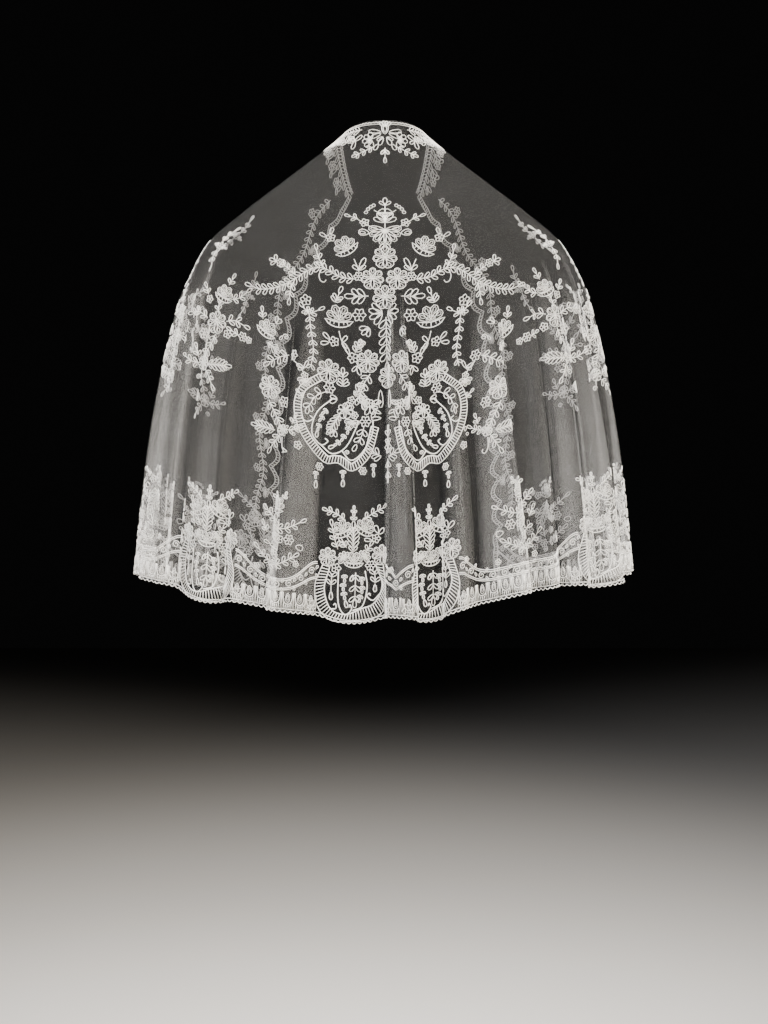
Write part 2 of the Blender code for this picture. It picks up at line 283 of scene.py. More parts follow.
def read_table(table, around, down):
    """A value of a length table between its grid points, level by level and step by step."""
    column = np.clip((around + 1) / 2, 0, 1) * (len(TABLE_AROUND) - 1)
    row = np.clip(down, 0, 1) * (len(TABLE_DOWN) - 1)
    c = np.minimum(column.astype(int), len(TABLE_AROUND) - 2)
    r = np.minimum(row.astype(int), len(TABLE_DOWN) - 2)
    u, v = column - c, row - r
    upper = table[r, c] * (1 - u) + table[r, c + 1] * u
    lower = table[r + 1, c] * (1 - u) + table[r + 1, c + 1] * u
    return upper * (1 - v) + lower * v


class Socket:
    """A shader value: the ordinary operators on it add Math nodes to its material."""

    def __init__(self, tree, socket):
        self.tree = tree
        self.socket = socket

    def node(self, kind, inputs=(), output=0, **settings):
        """Adds any node, sets its properties and inputs, and gives back one of its outputs."""
        node = self.tree.nodes.new(kind)
        for name, value in settings.items():
            setattr(node, name, value)
        for place, value in (inputs.items() if isinstance(inputs, dict) else enumerate(inputs)):
            if isinstance(value, Socket):
                self.tree.links.new(value.socket, node.inputs[place])
            else:
                node.inputs[place].default_value = value
        return Socket(self.tree, node.outputs[output])

    def math(self, operation, *values):
        """One Math node of that operation."""
        return self.node("ShaderNodeMath", values, operation=operation)

    def __add__(self, other):
        return self.math("ADD", self, other)

    def __radd__(self, other):
        return self.math("ADD", other, self)

    def __sub__(self, other):
        return self.math("SUBTRACT", self, other)

    def __rsub__(self, other):
        return self.math("SUBTRACT", other, self)

    def __mul__(self, other):
        return self.math("MULTIPLY", self, other)

    def __rmul__(self, other):
        return self.math("MULTIPLY", other, self)

    def __truediv__(self, other):
        return self.math("DIVIDE", self, other)

    def __abs__(self):
        return self.math("ABSOLUTE", self)

    def wrapped(self, size):
        """The value as its distance from the nearest multiple of size."""
        return self.math("FLOORED_MODULO", self + size / 2, size) - size / 2

    def smaller(self, other):
        return self.math("MINIMUM", self, other)

    def larger(self, other):
        return self.math("MAXIMUM", self, other)

    def step(self, low, high):
        """0 below low, 1 above high and a smooth rise between."""
        limits = (self, low, high, 0.0, 1.0)
        return self.node("ShaderNodeMapRange", limits, interpolation_type="SMOOTHSTEP")

    def mix(self, first, second):
        """The colour that lies this share of the way from first to second."""
        inputs = {0: self, 6: first, 7: second}
        return self.node("ShaderNodeMix", inputs, output=2, data_type="RGBA")


def cloth_shader(name, roughness, sheen):
    """A new cloth material: its Principled shader, and a Socket on its UV in metres, split in x, y."""
    material = bpy.data.materials.new(name)
    material.use_nodes = True
    tree = material.node_tree
    shader = tree.nodes["Principled BSDF"]
    shader.inputs["Roughness"].default_value = roughness
    shader.inputs["Sheen Weight"].default_value = sheen
    shader.inputs["Sheen Roughness"].default_value = 0.5
    shader.inputs["Specular IOR Level"].default_value = 0.25
    maps = tree.nodes.new("ShaderNodeUVMap")
    maps.uv_map = "cloth"
    place = Socket(tree, maps.outputs[0])
    x = place.node("ShaderNodeSeparateXYZ", (place,), output=0)
    y = Socket(tree, x.socket.node.outputs[1])
    return material, shader, place, x, y


def tulle_material():
    """Cotton net: six-sided holes between fine threads, cut out by alpha, a little uneven in tone."""
    material, shader, place, x, y = cloth_shader("cotton net", roughness=0.8, sheen=0.6)
    slope = 3 ** 0.5 / 2
    tall = NET_HOLE * slope * 2
    first_x, first_y = abs(x.wrapped(NET_HOLE)), abs(y.wrapped(tall))
    other_x = abs((x + NET_HOLE / 2).wrapped(NET_HOLE))
    other_y = abs((y + tall / 2).wrapped(tall))
    first = first_x.larger(first_x * 0.5 + first_y * slope)
    other = other_x.larger(other_x * 0.5 + other_y * slope)
    middle = first.smaller(other) / NET_HOLE
    cloud = place.node("ShaderNodeTexNoise", {"Vector": place, "Scale": 26.0, "Detail": 3.0})
    gather = place.node("ShaderNodeAttribute", attribute_name="gather", output=2)
    cover = gather.math("POWER", gather, GATHER_POWER) * NET_COVER
    thread = middle.step(0.5 - NET_THREAD * 1.6, 0.5 - NET_THREAD * 0.6)
    alpha = (thread * cover + cloud * NET_HAZE).smaller(1.0)
    tree = material.node_tree
    tree.links.new(alpha.socket, shader.inputs["Alpha"])
    tone = cloud.step(0.3, 0.7).mix(NET_DEEP, NET_LIGHT)
    tree.links.new(tone.socket, shader.inputs["Base Color"])
    bump = place.node("ShaderNodeBump", {"Strength": 0.35, "Distance": 0.0003, "Height": thread})
    tree.links.new(bump.socket, shader.inputs["Normal"])
    return material


def mesh_piece(name, points, uv, face_groups, *materials):
    """A named piece, smooth, from points, their UV in metres of cloth, and faces as arrays of numbers."""
    mesh = bpy.data.meshes.new(name)
    mesh.from_pydata(points.tolist(), [], [face for group in face_groups for face in group.tolist()])
    corners = np.concatenate([group.ravel() for group in face_groups])
    layer = mesh.uv_layers.new(name="cloth")
    layer.data.foreach_set("uv", uv[corners].astype(np.float32).ravel())
    for material in materials:
        mesh.materials.append(material)
    mesh.shade_smooth()
    piece = bpy.data.objects.new(name, mesh)
    bpy.context.scene.collection.objects.link(piece)
    return piece


def grid_piece(name, points, uv, material):
    """A sheet through a grid of points, a face for each four neighbours, faces outward."""
    rows, columns = points.shape[:2]
    index = np.arange(rows * columns).reshape(rows, columns)
    faces = np.stack([index[:-1, :-1], index[1:, :-1], index[1:, 1:], index[:-1, 1:]], axis=-1)
    return mesh_piece(name, points.reshape(-1, 3), uv.reshape(-1, 2), [faces.reshape(-1, 4)], material)


def round_rate(form, around, down):
    """Metres of cloth in one unit of around, plain or folded: its length over a small step."""
    return np.linalg.norm(form(around + GATHER_STEP, down) - form(around - GATHER_STEP, down), axis=-1)


# The columns of the net crowd together on the creases, and its front columns follow the scallops.
crowding = np.ones_like(TABLE_AROUND)
for row in CREASES:
    away = (TABLE_AROUND - row[CREASE_NAMES.index("low_around")]) * HALF_HEM
    crowding += CREASE_CROWD * np.exp(-(away / CREASE_CROWD_REACH) ** 2)
crowded = np.concatenate([[0.0], np.cumsum((crowding[1:] + crowding[:-1]) / 2)])
net_places = np.interp(np.linspace(crowded[-1], 0.0, NET_COLUMNS + 1), crowded, TABLE_AROUND)
net_share = np.linspace(0, 1, NET_ROWS + 1)[:, None]
near_front = np.clip((np.abs(net_places) - 1 + FRONT_REACH) / FRONT_REACH, 0, 1)[None, :]
net_around = net_places[None, :] - np.sign(net_places)[None, :] * near_front * front_cut(net_share)
net_down = net_share * hem_edge(net_around)
net_points = drape(net_around, net_down)
net_uv = np.stack([
    -read_table(TABLE_S, net_around + 0 * net_down, net_down),
    -net_down * CLOTH_DROP + 0 * net_around,
], axis=-1)
tulle = grid_piece("tulle", net_points, net_uv, tulle_material())
gather = round_rate(drape, net_around, net_down) / round_rate(plain_drape, net_around, net_down)
gather = np.clip(gather, 1.0, GATHER_MOST)
gather_layer = tulle.data.attributes.new("gather", "FLOAT", "POINT")
gather_layer.data.foreach_set("value", gather.astype(np.float32).ravel())
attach(tulle, "root")
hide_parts("net_left_front", "net_left_arm", "net_back", "net_right_arm", "net_right_front")

# The nape spray: a bud, two open florets and trailing buds at the middle of the neck, in a firm cotton
# cord laid on the net and stitched down. All the lace is made this way, so the cord's section, its
# finish and the first flower forms are worked out here. The cord is darker in the grooves of its twist,
# a painted shade, and the underside of every bead is a dark grey painted shade that dims the lace seen
# from inside the cape.

# Cord widths are drawn in millimetres and made finer by FINENESS. The heights of the bead over and
# under the net, its twist and its side are in metres. LAY_STEPS, of at most LAY_REACH, find the place
# of each point round the cloth.
CORD_WIDTH = 1.05
FINENESS = 0.8
CORD_HEIGHT = 0.00052
CORD_UNDER = 0.00016
LACE_LIGHT = (0.96, 0.945, 0.90, 1.0)
# The deeper lace colour: a painted shade in the twist grooves, and an uneven tone by noise.
LACE_GROOVE_SHADE_AND_TONE = (0.90, 0.865, 0.79, 1.0)
# Underside colours: a dark grey painted shade on the underside face of every bead.
UNDERSIDE_SHADE_LIGHT = (0.36, 0.355, 0.345, 1.0)
UNDERSIDE_SHADE_DEEP = (0.28, 0.27, 0.26, 1.0)
TWIST = 0.0011
BEAD_SIDE = 0.0008
LAY_STEP = 0.0008
LAY_STEPS = 6
LAY_REACH = 0.03

# The pattern paper of the back: its squares are 1.2 mm wide, seen level from behind at this distance.
# x counts squares across from the left and y counts down; the middle line of the back is at MIDDLE.
SQUARE = 0.0012
PAPER_X, PAPER_Y = 384.0, 512.0
SEEN_FROM = 1.7
SEEN_X, SEEN_Z = 0.0006, -0.368
MIDDLE = 385.0

# Newton's search for a point of the paper on the cloth: where it starts, its steps on the plain drape
# and on the folded one, how far it eases into the folds, its trial step, and the longest one it takes.
START_WIDE = 480.0
START_TOP = 118.0
START_TALL = 500.0
PLAIN_STEPS = 8
FOLD_STEPS = 5
FOLD_EASE = 0.6
TRIAL_STEP = 1e-4
LONGEST_STEP = 0.1


def lace_material(name, light, shade_and_tone):
    """Cotton cord in the colours given: a fine twist along it as bump, mixed towards the second colour in
    its grooves, a painted shade, and by noise, an uneven tone.
    """
    material, shader, place, x, y = cloth_shader(name, roughness=0.72, sheen=0.3)
    tree = material.node_tree
    turn = abs((x + y * 0.8).wrapped(TWIST)) / (TWIST / 2)
    cloud = place.node("ShaderNodeTexNoise", {"Vector": place, "Scale": 90.0, "Detail": 2.0})
    # Painted shade: where the twist's bump is low, in its grooves, the colour goes towards the deeper one;
    # the noise adds uneven tone.
    tone = (turn.step(0.5, 1.0) * 0.5 + cloud * 0.4).mix(light, shade_and_tone)
    tree.links.new(tone.socket, shader.inputs["Base Color"])
    bump = place.node("ShaderNodeBump", {"Strength": 0.5, "Distance": 0.0002, "Height": 1.0 - turn})
    tree.links.new(bump.socket, shader.inputs["Normal"])
    return material


LACE = lace_material("laid cord", LACE_LIGHT, LACE_GROOVE_SHADE_AND_TONE)
# The bead's underside: a dark grey painted shade that dims the lace seen from inside the cape.
UNDERSIDE_PAINTED_SHADE = lace_material("cord underside painted shade", UNDERSIDE_SHADE_LIGHT, UNDERSIDE_SHADE_DEEP)


def paper_of(around, down, form=plain_drape):
    """Where a place of the cloth shows on the pattern paper, with no folds or in the drape given."""
    x, y, z = np.moveaxis(form(around, down), -1, 0)
    nearer = SEEN_FROM / (SEEN_FROM - y) / SQUARE
    return PAPER_X - (x - SEEN_X) * nearer, PAPER_Y - (z - SEEN_Z) * nearer


def on_paper(x, y):
    """The place of the cloth under a point of the paper, by Newton's method, then eased for the folds."""
    x, y = np.atleast_1d(np.asarray(x, float)), np.atleast_1d(np.asarray(y, float))
    around = (PAPER_X - x) / START_WIDE
    down = np.clip((y - START_TOP) / START_TALL, 0.02, 0.98)
    step = TRIAL_STEP
    for form, share in [(plain_drape, 1.0)] * PLAIN_STEPS + [(drape, FOLD_EASE)] * FOLD_STEPS:
        at_x, at_y = paper_of(around, down)
        right_x, right_y = paper_of(around + step, down)
        low_x, low_y = paper_of(around, down + step)
        a, b, c, d = right_x - at_x, low_x - at_x, right_y - at_y, low_y - at_y
        whole = (a * d - b * c) / step / share
        seen_x, seen_y = paper_of(around, down, form)
        move = (d * (x - seen_x) - b * (y - seen_y)) / whole
        around = around + np.clip(move, -LONGEST_STEP, LONGEST_STEP)
        move = (a * (y - seen_y) - c * (x - seen_x)) / whole
        down = np.clip(down + np.clip(move, -LONGEST_STEP, LONGEST_STEP), 0.003, 0.999)
    return np.stack([around, down], axis=-1)


def smooth(points, steps=4):
    """A path through the points: each span is the cubic that its four nearest points give."""
    p = np.asarray(points, float)
    long = np.vstack([2 * p[0] - p[1], p, 2 * p[-1] - p[-2]])
    b, s, a, e = (q[:, None, :] for q in (long[:-3], long[1:-2], long[2:-1], long[3:]))
    t = (np.arange(steps) / steps)[None, :, None]
    path = 2 * s + (a - b) * t + (2 * b - 5 * s + 4 * a - e) * t ** 2 + (3 * s - b - 3 * a + e) * t ** 3
    return np.vstack([path.reshape(-1, p.shape[1]) / 2, p[-1:]])


def cord(points, width=CORD_WIDTH, closed=False):
    """One cord of the pattern: its path and its width in millimetres, and whether it closes."""
    return [(np.asarray(points, float), width, closed)]


def placed(cords, x=0.0, y=0.0, turn=0.0, size=1.0, mirror=False):
    """Cords mirrored left to right if asked, then scaled, turned anticlockwise and moved to x, y."""
    angle = np.radians(turn)
    spin = np.array([[np.cos(angle), -np.sin(angle)], [np.sin(angle), np.cos(angle)]])
    flip = np.array([-1.0 if mirror else 1.0, 1.0])
    return [((path * flip * size) @ spin.T + (x, y), width, closed) for path, width, closed in cords]


def placeable(draw):
    """A flower form that also takes x, y, turn, size or mirror: it is drawn, then placed by them."""
    def form(*sizes, **place):
        return placed(draw(*sizes), **place)
    return form


@placeable
def drop(length, wide=0.50, width=CORD_WIDTH, steps=9):
    """A drop-shaped leaf from the origin along +x: a sine wide, drawn in towards its stalk."""
    t = np.linspace(0, 2 * np.pi, steps, endpoint=False)
    out = (1 - np.cos(t)) / 2
    across = wide * length / 2 * np.sin(t) * (0.55 + 0.6 * out)
    return cord(np.stack([length * out, across], axis=-1), width, True)


@placeable
def bud(length):
    """A worked bud along +x: two short leaves and a full drop past them, close enough to look solid."""
    half = length * 0.5
    side = drop(half, 0.6, 1.3, 6)
    cup = placed(side, turn=48) + placed(side, turn=-48)
    return cup + drop(length * 0.62, 0.5, 1.35, 7, x=length * 0.38)


@placeable
def sprig(length, pairs, leaf):
    """A straight stem along +x with leaf pairs, and a leaf at its tip."""
    cords = cord([(0, 0), (length - leaf * 0.8, 0)], 1.0)
    for place in np.linspace(leaf * 0.35, length - leaf * 1.35, pairs):
        for side in (1, -1):
            cords += drop(leaf, x=place, turn=side * 46)
    return cords + drop(leaf * 1.15, x=length - leaf * 1.05)


@placeable
def rosette(radius, petals=5):
    """A small open flower: a lobed outline, a ring in its middle and spokes between the petals."""
    angle = np.linspace(0, 2 * np.pi, petals * 4, endpoint=False)
    reach = radius * (0.84 + 0.16 * np.cos(petals * angle))
    outline = np.stack([reach * np.cos(angle), reach * np.sin(angle)], axis=-1)
    eye_angle = np.linspace(0, 2 * np.pi, 7, endpoint=False)
    eye = radius * 0.22 * np.stack([np.cos(eye_angle), np.sin(eye_angle)], axis=-1)
    cords = cord(outline, 1.1, True) + cord(eye, 0.85, True)
    for spoke in (np.arange(petals) + 0.5) * 2 * np.pi / petals:
        way = np.array([np.cos(spoke), np.sin(spoke)])
        cords += cord([way * radius * 0.26, way * radius * 0.72], 0.8)
    return cords


@placeable
def floret(radius):
    """A half-open flower that points along +x: five petals in a fan, each with a vein."""
    cords = []
    for turn in (-78, -40, 0, 40, 78):
        cords += drop(radius, 0.56, turn=turn)
        cords += placed(cord([(radius * 0.4, 0), (radius * 0.78, 0)], 0.75), turn=turn)
    return cords


def set_on(places, cords):
    """Cords laid at a place of the cloth: every point keeps that place and its own offset there."""
    place = np.asarray(places, float).reshape(-1)[:2]
    return [(np.repeat(place[None], len(path), 0), path, width, closed) for path, width, closed in cords]


def on_back(x, y, cords):
    """Cords set down on the back at a point of the pattern paper."""
    return set_on(on_paper(x, y), cords)


def both_backs(x, y, cords):
    """Cords set down at a point of the pattern paper, and their mirror image across the back."""
    return on_back(x, y, cords) + on_back(2 * MIDDLE - x, y, placed(cords, mirror=True))


def paper_path(points, width, steps=4):
    """A long cord on the back, smooth through points of the pattern paper."""
    path = smooth(points, steps)
    return [(on_paper(path[:, 0], path[:, 1]), np.zeros_like(path), width, False)]


def both_paths(points, width):
    """A long cord on the back and its mirror image."""
    return paper_path(points, width) + paper_path([(2 * MIDDLE - x, y) for x, y in points], width)


def cloth_places(laid):
    """Where the points of laid cords lie: the offset is measured along the cloth from its place."""
    start = np.vstack([row[0] for row in laid])
    offset = np.vstack([row[1] for row in laid]) / 1000.0
    down = start[:, 1] - offset[:, 1] / read_table(DOWN_RATE, start[:, 0], start[:, 1])
    down = np.clip(down, 0.0, 1.0)
    target = read_table(TABLE_S, start[:, 0], down) - offset[:, 0]
    around = start[:, 0] - offset[:, 0] / read_table(AROUND_RATE, start[:, 0], down)
    for step in range(LAY_STEPS):
        miss = target - read_table(TABLE_S, around, down)
        around = around + np.clip(miss / read_table(AROUND_RATE, around, down), -LAY_REACH, LAY_REACH)
    return np.clip(around, -1.0, 1.0), down


def lace_piece(name, laid):
    """A piece of lace: each cord a low three-sided bead along its path, its ends capped, on the net."""
    counts = np.array([len(row[0]) for row in laid])
    closed = np.array([row[3] for row in laid])
    width = np.repeat([row[2] for row in laid], counts) * FINENESS / 1000.0
    first = np.repeat(np.cumsum(counts) - counts, counts)
    total = int(counts.sum())
    here = np.arange(total)
    size, ring = np.repeat(counts, counts), np.repeat(closed, counts)
    ahead = np.where(ring, first + (here - first + 1) % size, np.minimum(here + 1, first + size - 1))
    behind = np.where(ring, first + (here - first - 1) % size, np.maximum(here - 1, first))
    around, down = cloth_places(laid)
    points = drape(around, down)
    outward = cloth_ways(drape, around, down, LAY_STEP)[1]
    along = unit(points[ahead] - points[behind])
    across = unit(np.cross(outward, along)) * width[:, None] / 2
    under = points - outward * CORD_UNDER
    top = points + outward * CORD_HEIGHT
    bead = np.stack([under - across, top, under + across], axis=1)
    keep = ring | (here < first + size - 1)
    a, b = here[keep], ahead[keep]
    sides = ((0, 1), (1, 2), (2, 0))
    quads = np.concatenate([np.stack([a * 3 + i, b * 3 + i, b * 3 + j, a * 3 + j], -1) for i, j in sides])
    starts = (np.cumsum(counts) - counts)[~closed]
    ends = (np.cumsum(counts) - 1)[~closed]
    caps = np.concatenate([starts[:, None] * 3 + (0, 1, 2), ends[:, None] * 3 + (2, 1, 0)])
    run = np.cumsum(np.linalg.norm(points - points[behind], axis=-1))
    round_bead = np.tile([0.0, BEAD_SIDE, 2 * BEAD_SIDE], (total, 1))
    uv = np.stack([np.repeat(run[:, None], 3, 1), round_bead], axis=-1).reshape(-1, 2)
    piece = mesh_piece(name, bead.reshape(-1, 3), uv, [quads, caps], LACE, UNDERSIDE_PAINTED_SHADE)
    # The underside face of each bead, side (2, 0), takes the second material: the painted shade.
    underside_shade_faces = np.zeros(len(quads) + len(caps), dtype=np.int32)
    underside_shade_faces[2 * len(a):len(quads)] = 1
    piece.data.polygons.foreach_set("material_index", underside_shade_faces)
    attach(piece, "root")
    return piece


# Each row is a place on the pattern paper, squares across and down, and the cords that are set there:
# first those on the middle line, then those that have a mirror image across the back.
nape = []
for x, y, cords in (
    (385, 134, drop(13, 0.7, turn=90) + drop(8, 0.6, 0.9, y=2.0, turn=90)),
    (385, 148, sprig(18, 1, 6.4, turn=-90)),
):
    nape += on_back(x, y, cords)
for x, y, cords in (
    (385.5, 126.5, drop(7.5, turn=40) + drop(7, 0.6, turn=78)),
    (389, 132, drop(15, 0.36, turn=8) + drop(13, 0.4, y=-2, turn=-22)),
    (387, 137, drop(11, 0.5, turn=-66) + drop(8, 0.5, turn=-30)),
    (392, 144, drop(8.5, 0.6, turn=-60)),
    (397, 147, sprig(27, 3, 6.2, turn=-27)),
    (415, 141, drop(10, 0.5, turn=140) + drop(11, 0.5, turn=-84) + drop(9, turn=24)),
):
    nape += both_backs(x, y, cords)
for turn in (-96, -52, -8, 36, 80):
    petal = drop(10.5, 0.64, 0.9, turn=turn) + drop(4.6, 0.6, 0.75, 6, x=0.5, turn=turn)
    nape += both_backs(399, 140, petal)
for turn in (-48, -132):
    nape += on_back(385, 150, drop(7, turn=turn))
nape_spray = lace_piece("nape_spray", nape)

# The middle spray of the back: a tall bouquet on the middle line, from a three-leaved finial down
# through a shell and roses to a leafy column, with carnations standing off on each side.
# It is worked in the same laid cord, finer in the veins.


def circle(radius, x=0.0, y=0.0, width=1.0, steps=7):
    """A small worked ring."""
    angle = np.linspace(0, 2 * np.pi, steps, endpoint=False)
    return cord(np.stack([x + radius * np.cos(angle), y + radius * np.sin(angle)], axis=-1), width, True)


@placeable
def spiral(radius, turns=1.4, width=1.05):
    """A tendril end: a curl that winds in from radius to its middle."""
    t = np.linspace(0, 1, int(10 * turns))
    reach, angle = radius * (1 - 0.82 * t), 2 * np.pi * turns * t
    return cord(np.stack([reach * np.cos(angle), reach * np.sin(angle)], axis=-1), width)


@placeable
def rose(radius):
    """An open rose: five round petals above, two wide ones below, loops in them if large, and eyelets."""
    cords = []
    for turn, long, wide, width in (
        (90, 0.98, 0.66, 1.05), (39, 0.98, 0.66, 1.05), (141, 0.98, 0.66, 1.05), (-10, 0.98, 0.66, 1.05),
        (190, 0.98, 0.66, 1.05), (-62, 1.0, 0.98, 1.2), (-118, 1.0, 0.98, 1.2),
    ):
        petal = drop(long, wide, width, 10) + (drop(0.4, 0.8, 0.8, 6, x=0.5) if radius > 9 else [])
        cords += placed(petal, turn=turn, size=radius)
    for eyelet in range(5):
        cords += placed(circle(0.09, 0.24, 0.0, 0.75, 5), turn=17 + 72 * eyelet, size=radius)
    return cords


@placeable
def carnation(radius):
    """A flower in its cup, along +y: a crescent cup, four ruffled petals and a row of eyelets."""
    cup_x = np.linspace(-1, 1, 9)
    low = np.stack([cup_x, -0.62 * np.sqrt(1 - (0.98 * cup_x) ** 2) + 0.1], axis=-1)
    high = np.stack([cup_x[::-1] * 0.96, -0.16 * (1 - cup_x[::-1] ** 2) + 0.02], axis=-1)
    cords = cord(np.vstack([low, high[1:-1]]), 1.3, True) + cord([(0, -0.5), (0, -0.14)], 1.1)
    for x in (-0.66, -0.36, 0.36, 0.66):
        cords += cord([(x, -0.33), (x * 0.86, -0.1)], 0.9)
    for turn, reach in ((152, 0.98), (112, 1.08), (68, 1.08), (28, 0.98)):
        petal = drop(reach, 0.62, 0.95) + drop(reach * 0.42, 0.6, 0.75, 6, x=reach * 0.46)
        cords += placed(petal, turn=turn)
    for turn in (160, 125, 90, 55, 20):
        cords += placed(circle(0.07, 0.3, 0.0, 0.7, 5), turn=turn)
    return placed(cords, size=radius)


@placeable
def feather(length, pairs=5, leaf=8.0):
    """A cut leaf along +x: close pairs of narrow leaves on a vein, longest near its middle."""
    cords = cord([(0, 0), (length * 0.85, 0)], 1.1)
    for share in np.linspace(0.06, 0.72, pairs):
        size = leaf * (0.62 + 0.75 * np.sin(np.pi * (share + 0.12)) ** 1.2) * 0.8
        for side in (1, -1):
            cords += drop(size, 0.4, 0.95, 7, x=length * share, turn=side * 40)
    return cords + drop(leaf * 0.9, 0.5, 1.0, 7, x=length * 0.8)


def berries(points, radius):
    """A chain of worked berries, one at each point."""
    return [part for x, y in points for part in circle(radius, x, y, 0.8, 6)]


def garland(points, leaf, spacing, lean, tip=True):
    """A stem through points of the pattern paper, with a leaf pair every few millimetres of cloth."""
    path = smooth(points, 8)
    places = on_paper(path[:, 0], path[:, 1])
    cords = [(places, np.zeros_like(path), 1.0, False)]
    return cords + leaves_on(places, leaf, spacing, lean, tip)


def leaves_on(places, leaf, spacing, lean, tip=True):
    """Leaf pairs on a path of cloth places: they lean forward along it, and one leaf ends it."""
    middle = (places[1:] + places[:-1]) / 2
    step = np.diff(places, axis=0)
    right = -step[:, 0] * read_table(AROUND_RATE, middle[:, 0], middle[:, 1]) * 1000
    up = -step[:, 1] * read_table(DOWN_RATE, middle[:, 0], middle[:, 1]) * 1000
    run = np.concatenate([[0.0], np.cumsum(np.hypot(right, up))])
    cords = []
    for at in np.arange(spacing * 0.35, run[-1] - (leaf * 0.5 if tip else 0), spacing):
        span = min(np.searchsorted(run, at, side="right") - 1, len(step) - 1)
        share = (at - run[span]) / max(run[span + 1] - run[span], 1e-9)
        here = places[span] + step[span] * share
        way = np.degrees(np.arctan2(up[span], right[span]))
        cords += set_on(here, drop(leaf, turn=way + lean) + drop(leaf, turn=way - lean))
    if tip:
        way = np.degrees(np.arctan2(up[-1], right[-1]))
        cords += set_on(places[-1], drop(leaf * 1.15, turn=way))
    return cords


def both_garlands(points, *sizes):
    """A garland on the back and its mirror image."""
    return garland(points, *sizes) + garland([(2 * MIDDLE - x, y) for x, y in points], *sizes)


# The flowers of the middle line, then those mirrored across the back, then the stems and garlands.
middle = []
for x, y, cords in (
    (385, 205, drop(10, 0.55, turn=90) + drop(8, turn=36) + drop(8, turn=144)),
    (385, 257, rose(14.0)),
    (385, 297, rose(14.0)),
    (388.5, 376.5, rose(13.5)),
    (388, 447, sprig(24, 2, 8.5, turn=90) + rosette(7.6, 6)),
    (388, 459, sprig(26, 2, 8.5, turn=-90)),
):
    middle += on_back(x, y, cords)
for x, y, cords in (
    (392.5, 213.5, drop(10, 0.7, 0.9, turn=150) + drop(11, 0.55, 0.9, turn=-170)),
    (385, 222, drop(15, 0.5, turn=56) + drop(14, 0.45, turn=22) + drop(7, 0.6, y=2, turn=80)),
    (405.5, 222.5, rosette(5.4)),
    (412, 218.5, sprig(16, 1, 6.4, turn=14)),
    (401, 233, drop(12, 0.75, 1.2, turn=8) + drop(6.5, 0.6, 0.9, x=4, turn=8)),
    (386, 243, drop(8, turn=-58)),
    (397.5, 278.5, rose(13.0)),
    (411.5, 276.4, rosette(5.4, 6)),
    (423.5, 248.5, carnation(14.5, turn=-38)),
    (439.5, 237.5, rosette(5.6) + drop(9, x=1, y=4, turn=95) + drop(9, x=5, turn=20)),
    (411, 270, drop(16, 0.36, turn=112) + drop(9, turn=142) + drop(9, turn=34)),
    (401.5, 296, sprig(26, 2, 11.5, turn=-3)),
    (410.8, 315, rosette(7.8, 6)),
    (401, 328, drop(11, turn=-4) + drop(11, turn=-44) + drop(10, turn=-84)),
    (407, 341, bud(9, turn=-70)),
    (402, 361.5, rose(13.0)),
    (431, 320, carnation(16.0)),
    (434.5, 302, sprig(19, 1, 8, turn=108) + drop(8, turn=52) + drop(7, turn=150)),
    (428, 342, drop(9, turn=128) + drop(9, turn=-128)),
    (436, 341.5, rosette(5.8) + drop(9.5, x=5, y=2, turn=38) + drop(9.5, x=6, y=-2, turn=-16)),
    (417, 358, rosette(6.2) + sprig(17, 2, 7, x=-2, y=5, turn=112) + drop(9, x=4, y=4, turn=60)),
    (413, 366, drop(11, 0.42, turn=-112) + drop(8, turn=-50) + drop(8, turn=200)),
    (401, 403, rosette(5.0) + drop(11, x=3, turn=20) + drop(10, x=-3, turn=168)),
    (400, 406, drop(11, turn=-64) + drop(10, turn=-112)),
    (389.5, 390, drop(20, 0.3, turn=-91)),
    (394, 409, drop(11, 0.4, turn=-66)),
    (389, 418, drop(11, 0.42, turn=-6) + drop(9, 0.42, y=5, turn=24)),
    (389, 456, sprig(17, 1, 8.5, turn=24) + drop(9, turn=-34)),
):
    middle += both_backs(x, y, cords)
for x, y in ((396.4, 205.3), (399.2, 206.8), (401.9, 209.0), (404.0, 212.2)):
    middle += both_backs(x, y, circle(2.0))
shell_leaf = drop(19, 0.46, 1.05, 9) + drop(8.5, 0.5, 0.85, 6, x=8)
for turn in (8, -20, -48, -76):
    middle += both_backs(385, 230, placed(shell_leaf, turn=turn))
for turn in (12, -24, -58, 44):
    middle += both_backs(386, 313, drop(15.5, 0.42, x=2, turn=turn))
middle += paper_path([(385, 204), (385, 232)], 1.1)
for width, points in (
    (1.0, [(385, 221), (390, 214), (396, 210)]),
    (0.95, [(385, 231), (396, 228), (406, 223), (416, 217)]),
    (0.95, [(416, 259), (413, 266), (411, 272)]),
    (0.95, [(431, 331), (429, 339), (424, 350), (420, 357)]),
):
    middle += both_paths(points, width)
middle += garland([(386, 317), (386.5, 338), (387, 362)], 12.0, 9.4, 40)
middle += both_garlands([(400, 374), (406, 384), (411, 397)], 8.4, 9.6, 50)
middle_spray = lace_piece("middle_spray", middle)

